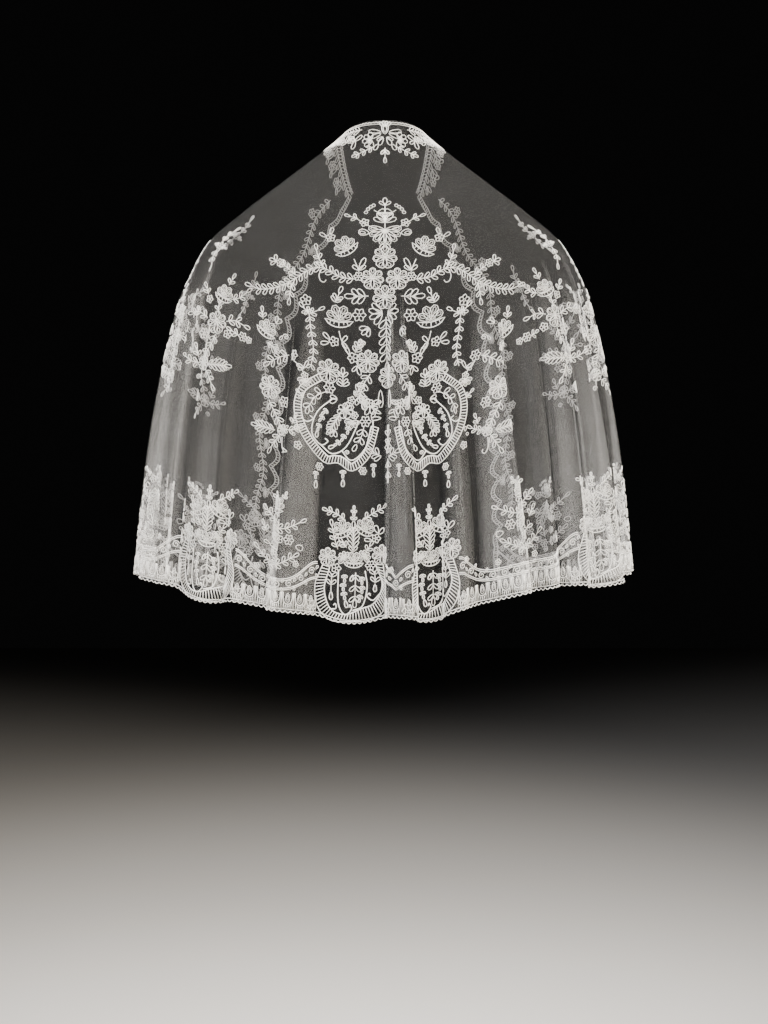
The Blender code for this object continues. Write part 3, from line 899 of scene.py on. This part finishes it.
# The shoulder garlands: leafy branches that swing out from the roses to the shoulder blades, with
# side shoots, tendrils and single flowers on stems below them, in the same laid cord.
shoots = []
for x, y, cords in (
    (489.5, 262.6, rosette(5.0, 6)),
    (494, 261, drop(8.0, turn=68) + drop(8.5, turn=2) + drop(7.5, turn=-48)),
    (464.2, 300, rosette(6.6, 5)),
    (461, 314, sprig(17, 1, 7.0, turn=38) + sprig(19, 1, 6.8, turn=142)),
    (504, 331, carnation(12.5, turn=22) + feather(15, 3, 7.5, x=-3, y=-12, turn=205)),
    (507, 319, sprig(14, 1, 6.5, turn=78)),
    (494, 323, drop(9, 0.6, turn=150) + drop(8, 0.6, turn=98) + circle(2.0, 12, -4)),
    (484, 337, spiral(3.6) + drop(6, x=4, turn=-60)),
    (527, 337, rosette(5.5, 6) + rosette(4.0, 5, x=-9, y=-2) + sprig(16, 1, 6.5, x=5, turn=18)),
    (475.4, 355.3, rosette(6.4, 6)),
    (466, 368, drop(10, 0.36, turn=112) + drop(9, turn=14) + drop(7, turn=-24)),
    (465.5, 379, floret(8, turn=-95) + rosette(4.2, y=4)),
    (499.4, 387, rose(13.0)),
    (485.6, 402, rosette(6.3, 6)),
    (487, 430, rose(6.5)),
    (495, 430, feather(26, 5, 9.5, turn=0)),
    (478, 424, sprig(13, 1, 5.6, turn=105)),
    (466, 398, sprig(12, 1, 5.0, turn=38)),
):
    shoots += both_backs(x, y, cords)
for width, points in (
    (1.1, [(449, 270), (451, 275), (449.5, 280.5), (446, 282), (444, 279.8)]),
    (1.0, [(475, 361), (469, 368), (466, 374)]),
    (1.1, [(488, 437), (488, 447), (485, 453), (482, 452), (483, 449)]),
):
    shoots += both_paths(points, width)
for leaf, spacing, lean, tip, points in (
    (8.2, 8.0, 44, True, [
        (415, 279), (430, 276.8), (443, 269.5), (453, 267.4), (463, 270.8), (478, 280.5), (493.7, 287.4),
        (509.5, 289), (518, 286),
    ]),
    (7.0, 8.4, 44, True, [(447.4, 267.4), (449.5, 262), (452.6, 254.5), (453.4, 250)]),
    (6.6, 7.5, 44, False, [(474.7, 275), (481, 269), (486, 265)]),
    (7.0, 8.8, 44, True, [(476.8, 282), (479.5, 289), (480.6, 298)]),
    (6.6, 9.2, 44, False, [
        (463.4, 307), (460.5, 316), (459.4, 328), (457.5, 340), (456.5, 352), (459, 366),
    ]),
    (8.2, 9.0, 50, True, [(481, 355), (490, 357), (500, 362)]),
    (8.0, 9.0, 44, False, [(501, 400), (497, 409), (493, 417), (489, 427)]),
    (6.0, 6.4, 44, True, [(483, 430), (478, 430), (472, 428)]),
    (7.4, 7.6, 44, True, [(490, 434), (495, 441), (499, 447)]),
):
    shoots += both_garlands(points, leaf, spacing, lean, tip)
shoulder_garlands = lace_piece("shoulder_garlands", shoots)

# The two paisleys at the waist: curled palm shapes of three compartments, each edged by one smooth
# cord and framed by a band of short bars. Sprigs and buds fill them, and buds hang below. The bars
# are worked over the net between two cords.


def bars(inner, outer, count):
    """Short cords across a band: equal steps along one edge joined to equal steps along the other."""
    ends = []
    for path in (inner, outer):
        run = np.concatenate([[0.0], np.cumsum(np.linalg.norm(np.diff(path, axis=0), axis=1))])
        even = np.linspace(0, run[-1], count)
        ends.append(np.stack([np.interp(even, run, path[:, k]) for k in (0, 1)], axis=-1))
    return [np.array([start, end]) for start, end in zip(*ends)]


PALM_NARROW = 0.86
PALM_SMALLER = 0.93
PALM_SHIFT = 4.0
PALM_BAND = -7.2
PALM_BARS = 62


def palm_x(x):
    """The right palm's place on the paper for a place of the left one: the folds draw it narrower."""
    return MIDDLE + PALM_NARROW * (MIDDLE - x) + PALM_SHIFT


def both_palms(x, y, cords):
    """Cords set in the left palm, and mirrored, a little smaller, in the right palm."""
    return on_back(x, y, cords) + on_back(palm_x(x), y, placed(cords, mirror=True, size=PALM_SMALLER))


def palm_paths(points, width, steps=4):
    """A long cord of both palms."""
    other = [(palm_x(x), y) for x, y in points]
    return paper_path(points, width, steps) + paper_path(other, width, steps)


def inset(path, by):
    """A path moved to its left by a distance, as the inner edge of a band is from its rim."""
    along = unit(np.gradient(path, axis=0))
    return path + by * np.stack([-along[:, 1], along[:, 0]], axis=-1)


palm_rim = smooth([
    (319, 373.5), (300, 386), (294, 408), (302, 435), (323, 461.5), (338, 463), (352.5, 471), (370, 456),
    (378.5, 428),
])
palm_inner = inset(palm_rim, PALM_BAND)
palms = []
for x, y, cords in (
    (347, 452.6, spiral(2.8, 1.4, 1.1, mirror=True)),
    (328.5, 371, rose(13.5)),
    (329.5, 388, rosette(6.6, 6)),
    (308.5, 406.5, drop(8.6, 0.6, turn=258)),
    (337, 399, drop(9, 0.66, turn=210) + drop(8, 0.6, turn=160)),
    (345, 411, rose(9.0) + drop(11, 0.5, turn=30) + drop(11, 0.5, turn=70) + drop(11, 0.5, turn=-10)),
    (340, 414, feather(26, 5, 8.5, turn=240)),
    (352, 421, floret(8.5, turn=-95) + rosette(4.0, x=3, y=6)),
    (317.4, 430.5, drop(7.6, 0.55, 1.3, turn=264)),
    (334.6, 445.8, drop(7.4, 0.55, 1.3, turn=205)),
    (334, 430, drop(8, 0.55, turn=290) + drop(8, 0.55, turn=200) + drop(8.5, turn=245)),
    (365.4, 421.6, rosette(6.4, 6)),
    (356.5, 444.5, drop(8.4, 0.6, turn=245)),
    (355, 397, feather(17, 3, 8.0, turn=62) + rosette(4.6, x=-4, y=-4)),
    (362, 403, floret(9.0, turn=20) + drop(8, turn=100) + drop(8, turn=-70)),
    (343, 386, sprig(20, 2, 7.4, turn=92) + drop(8, turn=30) + drop(8, turn=150)),
    (371, 408, sprig(13, 1, 6.0, turn=35)),
    (298, 445, rosette(4.8, 5)),
    (296.5, 431, drop(5.5, 0.7, turn=100) + circle(1.8, -3, -4, 0.9)),
    (319.5, 466.5, rosette(4.6, 6)),
    (316, 471.5, bud(8.2, turn=268)),
    (316, 480.4, drop(8.4, 0.5, 1.3, turn=270)),
    (343, 470.5, bud(8.6, turn=270)),
    (343, 479.6, drop(8.0, 0.5, 1.3, turn=270)),
    (363, 471, rosette(4.6, 6)),
    (373.5, 464, bud(8, turn=268)),
    (373.5, 471.5, drop(6.0, 0.5, 1.3, turn=270)),
):
    palms += both_palms(x, y, cords)
for start, end in bars(palm_inner, palm_rim, PALM_BARS):
    palms += palm_paths([start, end], 1.1, 2)
for x, y, turn, leaf, wide in (
    (321, 393, 196, 8.6, 0.6), (314.5, 397, 222, 8.6, 0.6), (309.8, 404, 250, 8.6, 0.6),
    (363, 430, 258, 8.2, 0.58), (360.5, 438, 250, 8.2, 0.58),
):
    palms += both_palms(x, y, drop(leaf, wide, turn=turn + 42) + drop(leaf, wide, turn=turn - 42))
for x, y, turn in (
    (327, 410, 222), (323, 416, 236), (319.5, 424, 255),
    (348.5, 427, 262), (344.5, 435, 244), (339.5, 441.5, 222),
):
    palms += both_palms(x, y, bud(8.4, turn=turn))
for width, points in (
    (1.5, [(301, 417), (307, 421.4), (313, 418.5), (309.8, 415.4)]),
    (1.6, [(333.3, 398.2), (317, 412), (311.8, 431.8), (320.6, 444.6), (327.8, 441.4), (325, 438.5)]),
    (1.6, [(320.6, 444.6), (332.2, 453.8), (346, 447), (356.7, 426.7), (357.8, 420.6)]),
    (1.5, [(341.4, 450.2), (350.6, 460.4), (362, 453), (372, 435), (373, 420.6)]),
    (0.95, [(328, 391), (321, 393.5), (314.5, 397.5), (309.8, 404.5)]),
    (0.95, [(364, 426), (362, 435), (358, 443)]),
):
    palms += palm_paths(points, width)
palms += palm_paths(palm_rim, 1.2, 1)
palms += palm_paths(palm_inner, 1.5, 1)
paisleys = lace_piece("paisleys", palms)

# The side sprays: the flower groups of the arms and the fronts, each with a large rose, a rosette, a
# cut leaf and leafy shoots, and a flower in its cup above. The same group is worked again and again
# round the cloth, turned and sized to fit its place, as the maker repeats a pricked pattern.
SPRAY_NAMES = ("around", "down", "turn", "size", "mirror")
SPRAYS = (
    (0.395, 0.515, 4.0, 1.00, False),
    (0.520, 0.560, -6.0, 0.92, True),
    (0.655, 0.520, 8.0, 1.00, True),
    (0.800, 0.545, -5.0, 0.95, False),
)
SHOULDER_PLACES = ((0.452, 0.335), (0.575, 0.375), (0.70, 0.27), (0.86, 0.335))
SHOULDER_TURN = 12


def shoot(points, leaf=8.0, spacing=8.8, lean=46, tip=True):
    """A leafy shoot along a smooth line in millimetres: leaf pairs at even steps and one at the tip."""
    path = smooth(points, 5)
    step = np.diff(path, axis=0)
    run = np.concatenate([[0.0], np.cumsum(np.linalg.norm(step, axis=1))])
    cords = cord(path, 1.0)
    for at in np.arange(spacing * 0.4, run[-1] - (leaf * 0.5 if tip else 0), spacing):
        span = min(np.searchsorted(run, at, side="right") - 1, len(step) - 1)
        x, y = path[span] + step[span] * (at - run[span]) / max(run[span + 1] - run[span], 1e-9)
        way = np.degrees(np.arctan2(step[span, 1], step[span, 0]))
        cords += drop(leaf, x=x, y=y, turn=way + lean) + drop(leaf, x=x, y=y, turn=way - lean)
    if tip:
        way = np.degrees(np.arctan2(step[-1, 1], step[-1, 0]))
        cords += drop(leaf * 1.15, x=path[-1, 0], y=path[-1, 1], turn=way)
    return cords


def side_spray():
    """The flower group of the sides, about 90 mm wide and 140 mm tall, with its middle at the origin."""
    cords = rose(13.5, x=4, y=19) + rosette(6.5, 6, x=-13, y=4) + rosette(5.2, x=21, y=8)
    cords += shoot([(5, 5), (0, -6), (-6, -16), (-9, -26)], 8.0, 8.8, tip=False)
    cords += rose(7.5, x=-10, y=-30) + feather(30, 5, 10.0, x=-3, y=-30, turn=4)
    cords += shoot([(-16, -30), (-25, -30), (-34, -26)], 7.0, 7.6)
    cords += shoot([(-6, -36), (1, -44), (6, -52)], 7.2, 8.0)
    cords += sprig(16, 1, 6.5, x=-18, y=-24, turn=108) + spiral(3.4, x=-16, y=-46)
    cords += shoot([(17, 22), (27, 25), (39, 22)], 8.0, 9.0)
    cords += shoot([(-10, 22), (-21, 27), (-33, 25)], 7.4, 8.4) + carnation(12.5, x=9, y=50, turn=-16)
    cords += shoot([(5, 31), (4, 37), (6, 43)], 6.0, 7.0, tip=False)
    cords += sprig(15, 1, 6.5, x=14, y=64, turn=70) + rosette(4.8, x=-10, y=44)
    cords += sprig(14, 1, 6, x=-13, y=49, turn=118) + shoot([(20, 48), (30, 52), (38, 60)], 7.0, 8.2)
    return cords


def shoulder_sprig():
    """The small spray at the tip of the shoulder: a rosette with buds and leaves above and below."""
    cords = rosette(5.0) + bud(7, x=5, y=-2, turn=-20) + bud(7, x=-5, y=2, turn=165)
    cords += shoot([(0, 5), (3, 14), (9, 22)], 6.6, 7.6)
    return cords + shoot([(-2, -5), (-5, -15), (-3, -26)], 6.6, 7.8)


def side_sprays(side):
    """The sprays of one side, laid on the cloth: side is 1 for the left, -1 for its mirror image."""
    laid = []
    for row in SPRAYS:
        spray = dict(zip(SPRAY_NAMES, row))
        mirror = spray["mirror"] != (side < 0)
        cords = placed(side_spray(), turn=side * spray["turn"], size=spray["size"], mirror=mirror)
        laid += set_on((side * spray["around"], spray["down"]), cords)
    for around, down in SHOULDER_PLACES:
        cords = placed(shoulder_sprig(), turn=side * SHOULDER_TURN, mirror=side < 0)
        laid += set_on((side * around, down), cords)
    return laid


left_sprays = lace_piece("left_side_sprays", side_sprays(1))
right_sprays = lace_piece("right_side_sprays", side_sprays(-1))

# The hem lace: paisley medallions joined by two rails, with scrolls between the rails, a row of arches
# worked solid down to a picot edge under them, and flower groups above. It is worked over the edge of
# the net in five stretches, as the solids are. Lengths are millimetres of hem and heights above it.
HEM_NAMES = ("name", "left", "right")
HEM_STRETCHES = (
    ("left_front", 1.0, 0.695),
    ("left_arm", 0.695, 0.235),
    ("back", 0.235, -0.285),
    ("right_arm", -0.285, -0.665),
    ("right_front", -0.665, -1.0),
)
HEM_LEVEL = round(0.95 * (DOWN_PLACES - 1))
MEDALLION_REACH = 41.0
MEDALLION_BARS = 50
GROUP_GAP = 70.0
CORNER_GAP = 6.0
ARCH_PITCH = 14.2
RAIL_STEP = 3.0
RAIL_HIGH = 33.0
RAIL_LOW = 21.5
RAIL_LIFT = 25.0
RAIL_REACH = 25.0
SCROLL_SHARE = 0.85
LOW_SHARE = 0.7
EDGE_STEP = 0.75
PICOT = 6.0
PICOT_DEEP = 2.2
FOOT_ROSETTE = 49.0


def hem_run(around):
    """Millimetres of hem between the middle of the back and a place round the hem."""
    return np.interp(around, TABLE_AROUND, TABLE_S[HEM_LEVEL]) * 1000


def hem_around(run):
    """The place round the hem at so many millimetres of hem from the middle of the back."""
    return np.interp(np.asarray(run) / 1000, TABLE_S[HEM_LEVEL], TABLE_AROUND)


def on_hem(run, cords):
    """Cords set on the hem: x to the right along the hem from there, y up from the edge."""
    around = float(hem_around(run))
    return set_on((around, float(hem_edge(around))), cords)


def hem_path(run, up, width):
    """A cord that runs along the hem at the heights given, in millimetres above the edge."""
    around = hem_around(run)
    offset = np.stack([np.zeros_like(run), up], axis=-1)
    return [(np.stack([around, hem_edge(around)], axis=-1), offset, width, False)]


def medallion():
    """A hem medallion, 86 mm wide: compartments in a band of bars, and a bouquet that rises from it."""
    rim = [(-34, 62), (-43, 40), (-40, 16), (-24, 2), (0, 1), (21, 3), (38, 15), (43, 36), (35, 64)]
    inner = [(-26, 60), (-32, 36), (-25, 15), (-8, 8.5), (10, 15), (26, 22), (34, 42), (26, 64)]
    rim, inner = smooth(rim, 6), smooth(inner, 6)
    cords = cord(rim, 1.3) + cord(inner, 1.5)
    for ends in bars(inner, rim, MEDALLION_BARS):
        cords += cord(ends, 1.05)
    for steps, points in (
        (4, [(-25, 14), (-18, 15), (-18.6, 20), (-21, 18.6)]),
        (5, [(-15.8, 57), (-15.6, 22), (-8.3, 8.4), (-0.6, 14), (-2.2, 19.4), (-3.4, 16.4)]),
        (5, [(0.6, 13), (12, 18.5), (17, 38), (14.4, 57)]),
        (4, [(32.4, 33), (24, 24.6), (17, 29), (19.6, 32.4), (20.8, 29.6)]),
    ):
        cords += cord(smooth(points, steps), 1.6)
    cords += shoot([(-23, 53), (-24, 42), (-24, 33)], 7.4, 8.6, 132, False)
    cords += drop(9, 0.5, 1.4, x=-24, y=33, turn=-90)
    cords += shoot([(25, 57), (26, 49), (26, 43)], 7.4, 8.6, 132, False)
    cords += drop(8, 0.5, 1.4, x=26, y=42, turn=-90) + sprig(38, 3, 8.6, x=3.5, y=55, turn=-91)
    for x, y, turn in (
        (-9, 52, -88), (-10.5, 42.5, -86), (-9.5, 33, -80), (11, 50, -92), (11.6, 40, -95), (9.6, 30, -105),
    ):
        cords += bud(8.4, x=x, y=y, turn=turn)
    cords += drop(8, 0.5, 1.4, x=-7.6, y=24, turn=-78) + drop(7, 0.5, 1.4, x=0.4, y=52, turn=-110)
    cords += rose(10.5, x=-28.5, y=71) + rose(11.5, x=33, y=75) + rosette(5.6, x=-18.5, y=59)
    cords += rosette(5.8, 6, x=20, y=63) + carnation(11, x=1, y=66) + floret(8, x=-9, y=70, turn=140)
    cords += floret(8, x=12, y=72, turn=40) + feather(34, 6, 9.5, y=76, turn=90)
    cords += bud(9, y=113, turn=90) + bud(8, y=121, turn=90) + carnation(12, x=-11.5, y=100, turn=26)
    cords += carnation(12, x=12, y=103, turn=-28) + shoot([(-9, 112), (-19, 119), (-29, 122)], 6.2, 7.6)
    cords += shoot([(11, 114), (22, 121), (33, 127)], 6.6, 8.0)
    cords += shoot([(-17, 80), (-21, 92), (-24, 105)], 6.8, 8.0) + drop(7, x=-16, y=84, turn=40)
    cords += rosette(5.2, x=26, y=93) + drop(8.5, x=21, y=91, turn=175)
    cords += drop(9, 0.6, x=28, y=99, turn=112) + drop(9, 0.6, x=29, y=98, turn=44)
    cords += sprig(14, 1, 6.2, x=15, y=78, turn=58) + sprig(13, 1, 6.0, x=-7, y=82, turn=130)
    return cords


def hem_group():
    """The flower group above the rails between two medallions, about 95 mm wide."""
    cords = carnation(11.5, x=-8, y=112, turn=20)
    cords += berries([(-8, 127), (-4.6, 127.6), (-1.4, 126.4), (1.4, 124)], 1.4)
    cords += bud(8, x=-18, y=122, turn=105) + rosette(4.8, x=6, y=112) + bud(8, x=11, y=116, turn=34)
    cords += drop(7, x=18, y=121, turn=30) + drop(8.5, 0.8, x=10, y=103, turn=10)
    cords += feather(36, 6, 10.5, x=-8, y=102, turn=-62) + feather(22, 4, 8.0, x=-6, y=98, turn=-108)
    cords += shoot([(3, 89), (13, 91), (20, 97), (30, 106)], 7.2, 8.2)
    cords += shoot([(-12, 88), (-24, 90), (-40, 99)], 7.2, 8.2) + rosette(5.6, 6, x=21, y=69)
    cords += drop(8, x=22, y=76, turn=85) + drop(7, x=27, y=70, turn=20) + rosette(6.0, 6, x=-29, y=78)
    cords += rosette(5.2, x=-17.5, y=77) + drop(9, 0.8, x=-38, y=72, turn=190)
    cords += sprig(17, 1, 7, y=56, turn=82) + rosette(5.4, 6, x=2, y=48) + rosette(4.8, x=10, y=55)
    cords += rosette(4.4, x=15, y=46) + drop(8, x=18, y=53, turn=48) + drop(8, x=20, y=49, turn=-6)
    cords += shoot([(-6, 48), (-20, 50), (-36, 60)], 7.2, 8.2)
    cords += shoot([(24, 50), (32, 54), (40, 62)], 6.8, 8.0)
    return cords + rosette(5.0, x=-13, y=63) + sprig(14, 1, 6.4, x=30, y=82, turn=62)


def arch():
    """One arch of the hem: a U of cord with a bud in it, worked solid round it down to the edge."""
    half = [(0, 7.6), (3.6, 9.2), (5.3, 14), (5.4, 20.6)]
    cords = cord(smooth([(-x, y) for x, y in half[:0:-1]] + half, 3), 1.25)
    cords += drop(10.5, 0.5, 1.0, 8, y=20, turn=-90) + drop(5.5, 0.5, 0.9, 6, y=17.5, turn=-90)
    for x in (-6.7, -4.4, -2.2, 0.0, 2.2, 4.4, 6.7):
        top = 20.8 if abs(x) > 5.6 else 6.6 + 5.0 * (abs(x) / 5.4) ** 3
        cords += cord([(x, 2.2), (x, top)], 0.95)
    return cords


def scroll(flip):
    """One scroll between the rails: a curl with its tail, and two small leaves beside it."""
    leaf = drop(4.6, 0.6, 1.2, 6)
    leaves = placed(leaf, 5.4, 2.6, 60) + placed(leaf, 5.4, -2.6, -60)
    return spiral(4.4, 1.5, 1.15, turn=20, mirror=flip) + leaves


def rail_lift(run, stops):
    """How much the rails rise beside a medallion: a bell curve of the way from its side."""
    near = np.abs(run[:, None] - np.array(stops)[None, :]).min(axis=1)
    return RAIL_LIFT * np.exp(-(near / RAIL_REACH) ** 2)


def hem_stretch(left, right):
    """All the hem lace between two places round the hem."""
    start, end = float(hem_run(right)), float(hem_run(left))
    middles = sorted(float(hem_run(place)) for place in MEDALLIONS)
    laid = []
    for middle_run in middles:
        if start <= middle_run < end:
            laid += on_hem(middle_run, medallion())
            laid += on_hem(middle_run + FOOT_ROSETTE, rosette(8.2, 6, y=7.5))
            laid += on_hem(middle_run - FOOT_ROSETTE, rosette(8.2, 6, y=7.5))
    limits = [float(hem_run(-1.0)) - MEDALLION_REACH + CORNER_GAP] + middles
    for low, high in zip(limits[:-1], limits[1:]):
        gap_low, gap_high = low + MEDALLION_REACH, high - MEDALLION_REACH
        count = max(int(round((gap_high - gap_low) / ARCH_PITCH)), 1)
        pitch = (gap_high - gap_low) / count
        for number in range(count):
            run = gap_low + (number + 0.5) * pitch
            if start <= run < end:
                lift = float(rail_lift(np.array([run]), (gap_low, gap_high))[0])
                scroll_up = (RAIL_HIGH + RAIL_LOW) / 2 + lift * SCROLL_SHARE
                laid += on_hem(run, arch() + placed(scroll(number % 2), y=scroll_up))
                if number % 3 == 1:
                    laid += on_hem(run + pitch / 2, rosette(3.6, y=RAIL_HIGH + 7 + lift))
        rail = np.arange(max(gap_low, start), min(gap_high, end), RAIL_STEP)
        if len(rail) > 2:
            lift = rail_lift(rail, (gap_low, gap_high))
            for height in (RAIL_HIGH, RAIL_HIGH - 2.0):
                laid += hem_path(rail, height + lift, 1.1)
            for height in (RAIL_LOW, RAIL_LOW + 1.8):
                laid += hem_path(rail, height + lift * LOW_SHARE, 1.1)
        group_run = (gap_low + gap_high) / 2
        if start <= group_run < end and gap_high - gap_low > GROUP_GAP:
            laid += on_hem(group_run, placed(hem_group(), mirror=group_run > 0))
    run = np.arange(start, end + EDGE_STEP, EDGE_STEP)
    laid += hem_path(run, 0.7 - PICOT_DEEP * np.abs(np.sin(np.pi * run / PICOT)), 1.2)
    return laid + hem_path(run[::2], np.full(len(run[::2]), 2.2), 1.1)


hem_pieces = []
for row in HEM_STRETCHES:
    stretch = dict(zip(HEM_NAMES, row))
    piece = lace_piece("hem_lace_" + stretch["name"], hem_stretch(stretch["left"], stretch["right"]))
    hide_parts("hem_border_" + stretch["name"])
    hem_pieces.append(piece)

# The front and neck edging: a narrow scalloped band of bars between a picot edge and a plain cord,
# with a running branch of leaves and rosettes beside it. It is worked over the raw edge of the net.
EDGING_DEEP = 5.0
EDGING_BARS = 3.2
EDGE_PICOT = 4.0
EDGING_TOP = 0.02
EDGING_LOW = 0.965
EDGING_PLACES = 620
BRANCH_TOP = 0.07
BRANCH_LOW = 0.80
BRANCH_PLACES = 60
BRANCH_IN = 27.0
BRANCH_SWAY = 4.5
BRANCH_SWINGS = 9


def front_edging(side):
    """The edging of one front: edge cord with picots, bars, inner cord and a branch that sways."""
    down = np.linspace(EDGING_TOP, EDGING_LOW, EDGING_PLACES)
    edge = side * (1 - front_cut(down))
    run = np.cumsum(read_table(DOWN_RATE, edge, down)) * (down[1] - down[0]) * 1000
    places = np.stack([edge, down], axis=-1)
    zero = np.zeros_like(run)
    picot = 0.6 - 1.1 * np.abs(np.sin(np.pi * run / EDGE_PICOT))
    laid = [(places, np.stack([side * picot, zero], axis=-1), 1.3, False)]
    inner = np.stack([zero + side * EDGING_DEEP, zero], axis=-1)
    laid.append((places[::2], inner[::2], 1.1, False))
    for at in np.arange(2.0, run[-1], EDGING_BARS):
        row = int(np.searchsorted(run, at))
        ends = np.array([[side * 1.2, 0.0], [side * EDGING_DEEP, 0.0]])
        laid.append((np.repeat(places[row][None], 2, 0), ends, 0.9, False))
    level = np.linspace(BRANCH_TOP, BRANCH_LOW, BRANCH_PLACES)
    straight = np.stack([np.full_like(level, side), level], axis=-1)
    sway = BRANCH_IN + BRANCH_SWAY * np.sin(np.linspace(0, BRANCH_SWINGS * np.pi, BRANCH_PLACES))
    around, low = cloth_places([(straight, np.stack([side * sway, 0 * sway], axis=-1), 1.0, False)])
    branch = np.stack([around, low], axis=-1)
    laid.append((branch, np.zeros_like(branch), 1.05, False))
    laid += leaves_on(branch, 7.2, 8.6, 46)
    for row in range(4, 58, 9):
        laid += set_on(branch[row], rosette(5.4, 6, x=side * 9))
        laid += set_on(branch[row + 4], floret(7.0, x=side * -8, turn=90 + 90 * side))
    return laid


NECK_END = 0.995
NECK_LEVEL = 0.006
NECK_PLACES = 900
NECK_PICOT = 1.2
NECK_INNER = -1.6
NECK_BRANCH_START = 0.13
NECK_BRANCH_END = 0.97
NECK_BRANCH_LEVEL = 0.018
NECK_BRANCH_PLACES = 80


def neck_band():
    """The neck edging: a picot cord, a plain cord under it, and a leafy branch with rosettes each way."""
    around = np.linspace(NECK_END, -NECK_END, NECK_PLACES)
    level = np.full_like(around, NECK_LEVEL)
    run = -read_table(TABLE_S, around, level) * 1000
    places = np.stack([around, level], axis=-1)
    zero = np.zeros_like(run)
    picot = NECK_PICOT * np.abs(np.sin(np.pi * run / EDGE_PICOT))
    laid = [(places, np.stack([zero, picot], axis=-1), 1.1, False)]
    inner = np.stack([zero, zero + NECK_INNER], axis=-1)
    laid.append((places[::3], inner[::3], 1.0, False))
    for side in (1, -1):
        along = side * np.linspace(NECK_BRANCH_START, NECK_BRANCH_END, NECK_BRANCH_PLACES)
        branch = np.stack([along, np.full_like(along, NECK_BRANCH_LEVEL)], axis=-1)
        laid.append((branch, np.zeros_like(branch), 0.95, False))
        laid += leaves_on(branch, 8.4, 8.6, 40)
        for row in range(6, 78, 9):
            laid += set_on(branch[row], rosette(5.4, 6, y=-12) + drop(8, x=-5, y=-14, turn=-150))
            laid += set_on(branch[row + 4], drop(9, y=-6, turn=-80) + drop(8, x=2, y=-6, turn=-30))
    return laid


edging_pieces = []
for name, cords, solid in (
    ("front_edging_left", front_edging(1), "front_border_left"),
    ("front_edging_right", front_edging(-1), "front_border_right"),
    ("neck_edging", neck_band(), "neck_border"),
):
    piece = lace_piece(name, cords)
    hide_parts(solid)
    edging_pieces.append(piece)

laces = [nape_spray, middle_spray, shoulder_garlands, paisleys, left_sprays, right_sprays]
laces += hem_pieces + edging_pieces

# The studio: a wide, plain pale floor under soft lights that are aimed at the cloth, in a dim room, and
# the camera level behind the back.
FLOOR_DROP = -1.30
FLOOR_HALF = 8.0
FLOOR_PLACES = 9
FLOOR_COLOUR = (0.62, 0.60, 0.57, 1.0)
FLOOR_ROUGHNESS = 0.85
SURROUND = (0.0025, 0.0025, 0.0025, 1.0)

floor_line = np.linspace(-FLOOR_HALF, FLOOR_HALF, FLOOR_PLACES)
floor_x, floor_y = np.meshgrid(floor_line, floor_line[::-1])
floor_points = np.stack([floor_x, floor_y, np.full_like(floor_x, FLOOR_DROP)], axis=-1)
floor_finish = bpy.data.materials.new("floor paint")
floor_finish.use_nodes = True
floor_paint = floor_finish.node_tree.nodes["Principled BSDF"].inputs
floor_paint["Base Color"].default_value = FLOOR_COLOUR
floor_paint["Roughness"].default_value = FLOOR_ROUGHNESS
floor = grid_piece("floor", floor_points, floor_points[..., :2], floor_finish)

surround = bpy.data.worlds.new("surround")
surround.use_nodes = True
surround.node_tree.nodes["Background"].inputs["Color"].default_value = SURROUND
bpy.context.scene.world = surround

LIGHT_NAMES = ("name", "x", "y", "z", "size", "watts", "green", "blue")
LIGHTS = (
    ("key", -1.35, 1.2, 2.0, 1.3, 46.0, 0.94, 0.86),
    ("fill", 1.55, 1.3, 1.8, 1.3, 32.0, 0.99, 1.0),
    ("front_key", 1.1, -1.5, 1.6, 1.3, 25.0, 0.97, 0.92),
    ("front_fill", -1.5, -1.3, 1.0, 1.4, 17.0, 0.98, 0.98),
)
LIGHT_SPREAD = np.radians(70.0)
LIGHT_AIM = np.array([0.0, 0.0, -0.2])
for row in LIGHTS:
    light = dict(zip(LIGHT_NAMES, row))
    data = bpy.data.lights.new(light["name"], "AREA")
    data.size = light["size"]
    data.energy = light["watts"]
    data.color = (1.0, light["green"], light["blue"])
    data.spread = LIGHT_SPREAD
    lamp = bpy.data.objects.new(light["name"], data)
    lamp.location = (light["x"], light["y"], light["z"])
    aim = LIGHT_AIM - np.array(lamp.location)
    tilt = np.arccos(-aim[2] / np.linalg.norm(aim))
    lamp.rotation_euler = (tilt, 0.0, np.arctan2(aim[1], aim[0]) - np.pi / 2)
    bpy.context.scene.collection.objects.link(lamp)

SENSOR = 36.0
camera_data = bpy.data.cameras.new("camera")
camera_data.sensor_width = SENSOR
camera_data.lens = SENSOR / 2 * SEEN_FROM / (SQUARE * PAPER_Y)
camera = bpy.data.objects.new("camera", camera_data)
camera.location = (SEEN_X, SEEN_FROM, SEEN_Z)
camera.rotation_euler = (np.pi / 2, 0.0, np.pi)
bpy.context.scene.collection.objects.link(camera)
bpy.context.scene.camera = camera
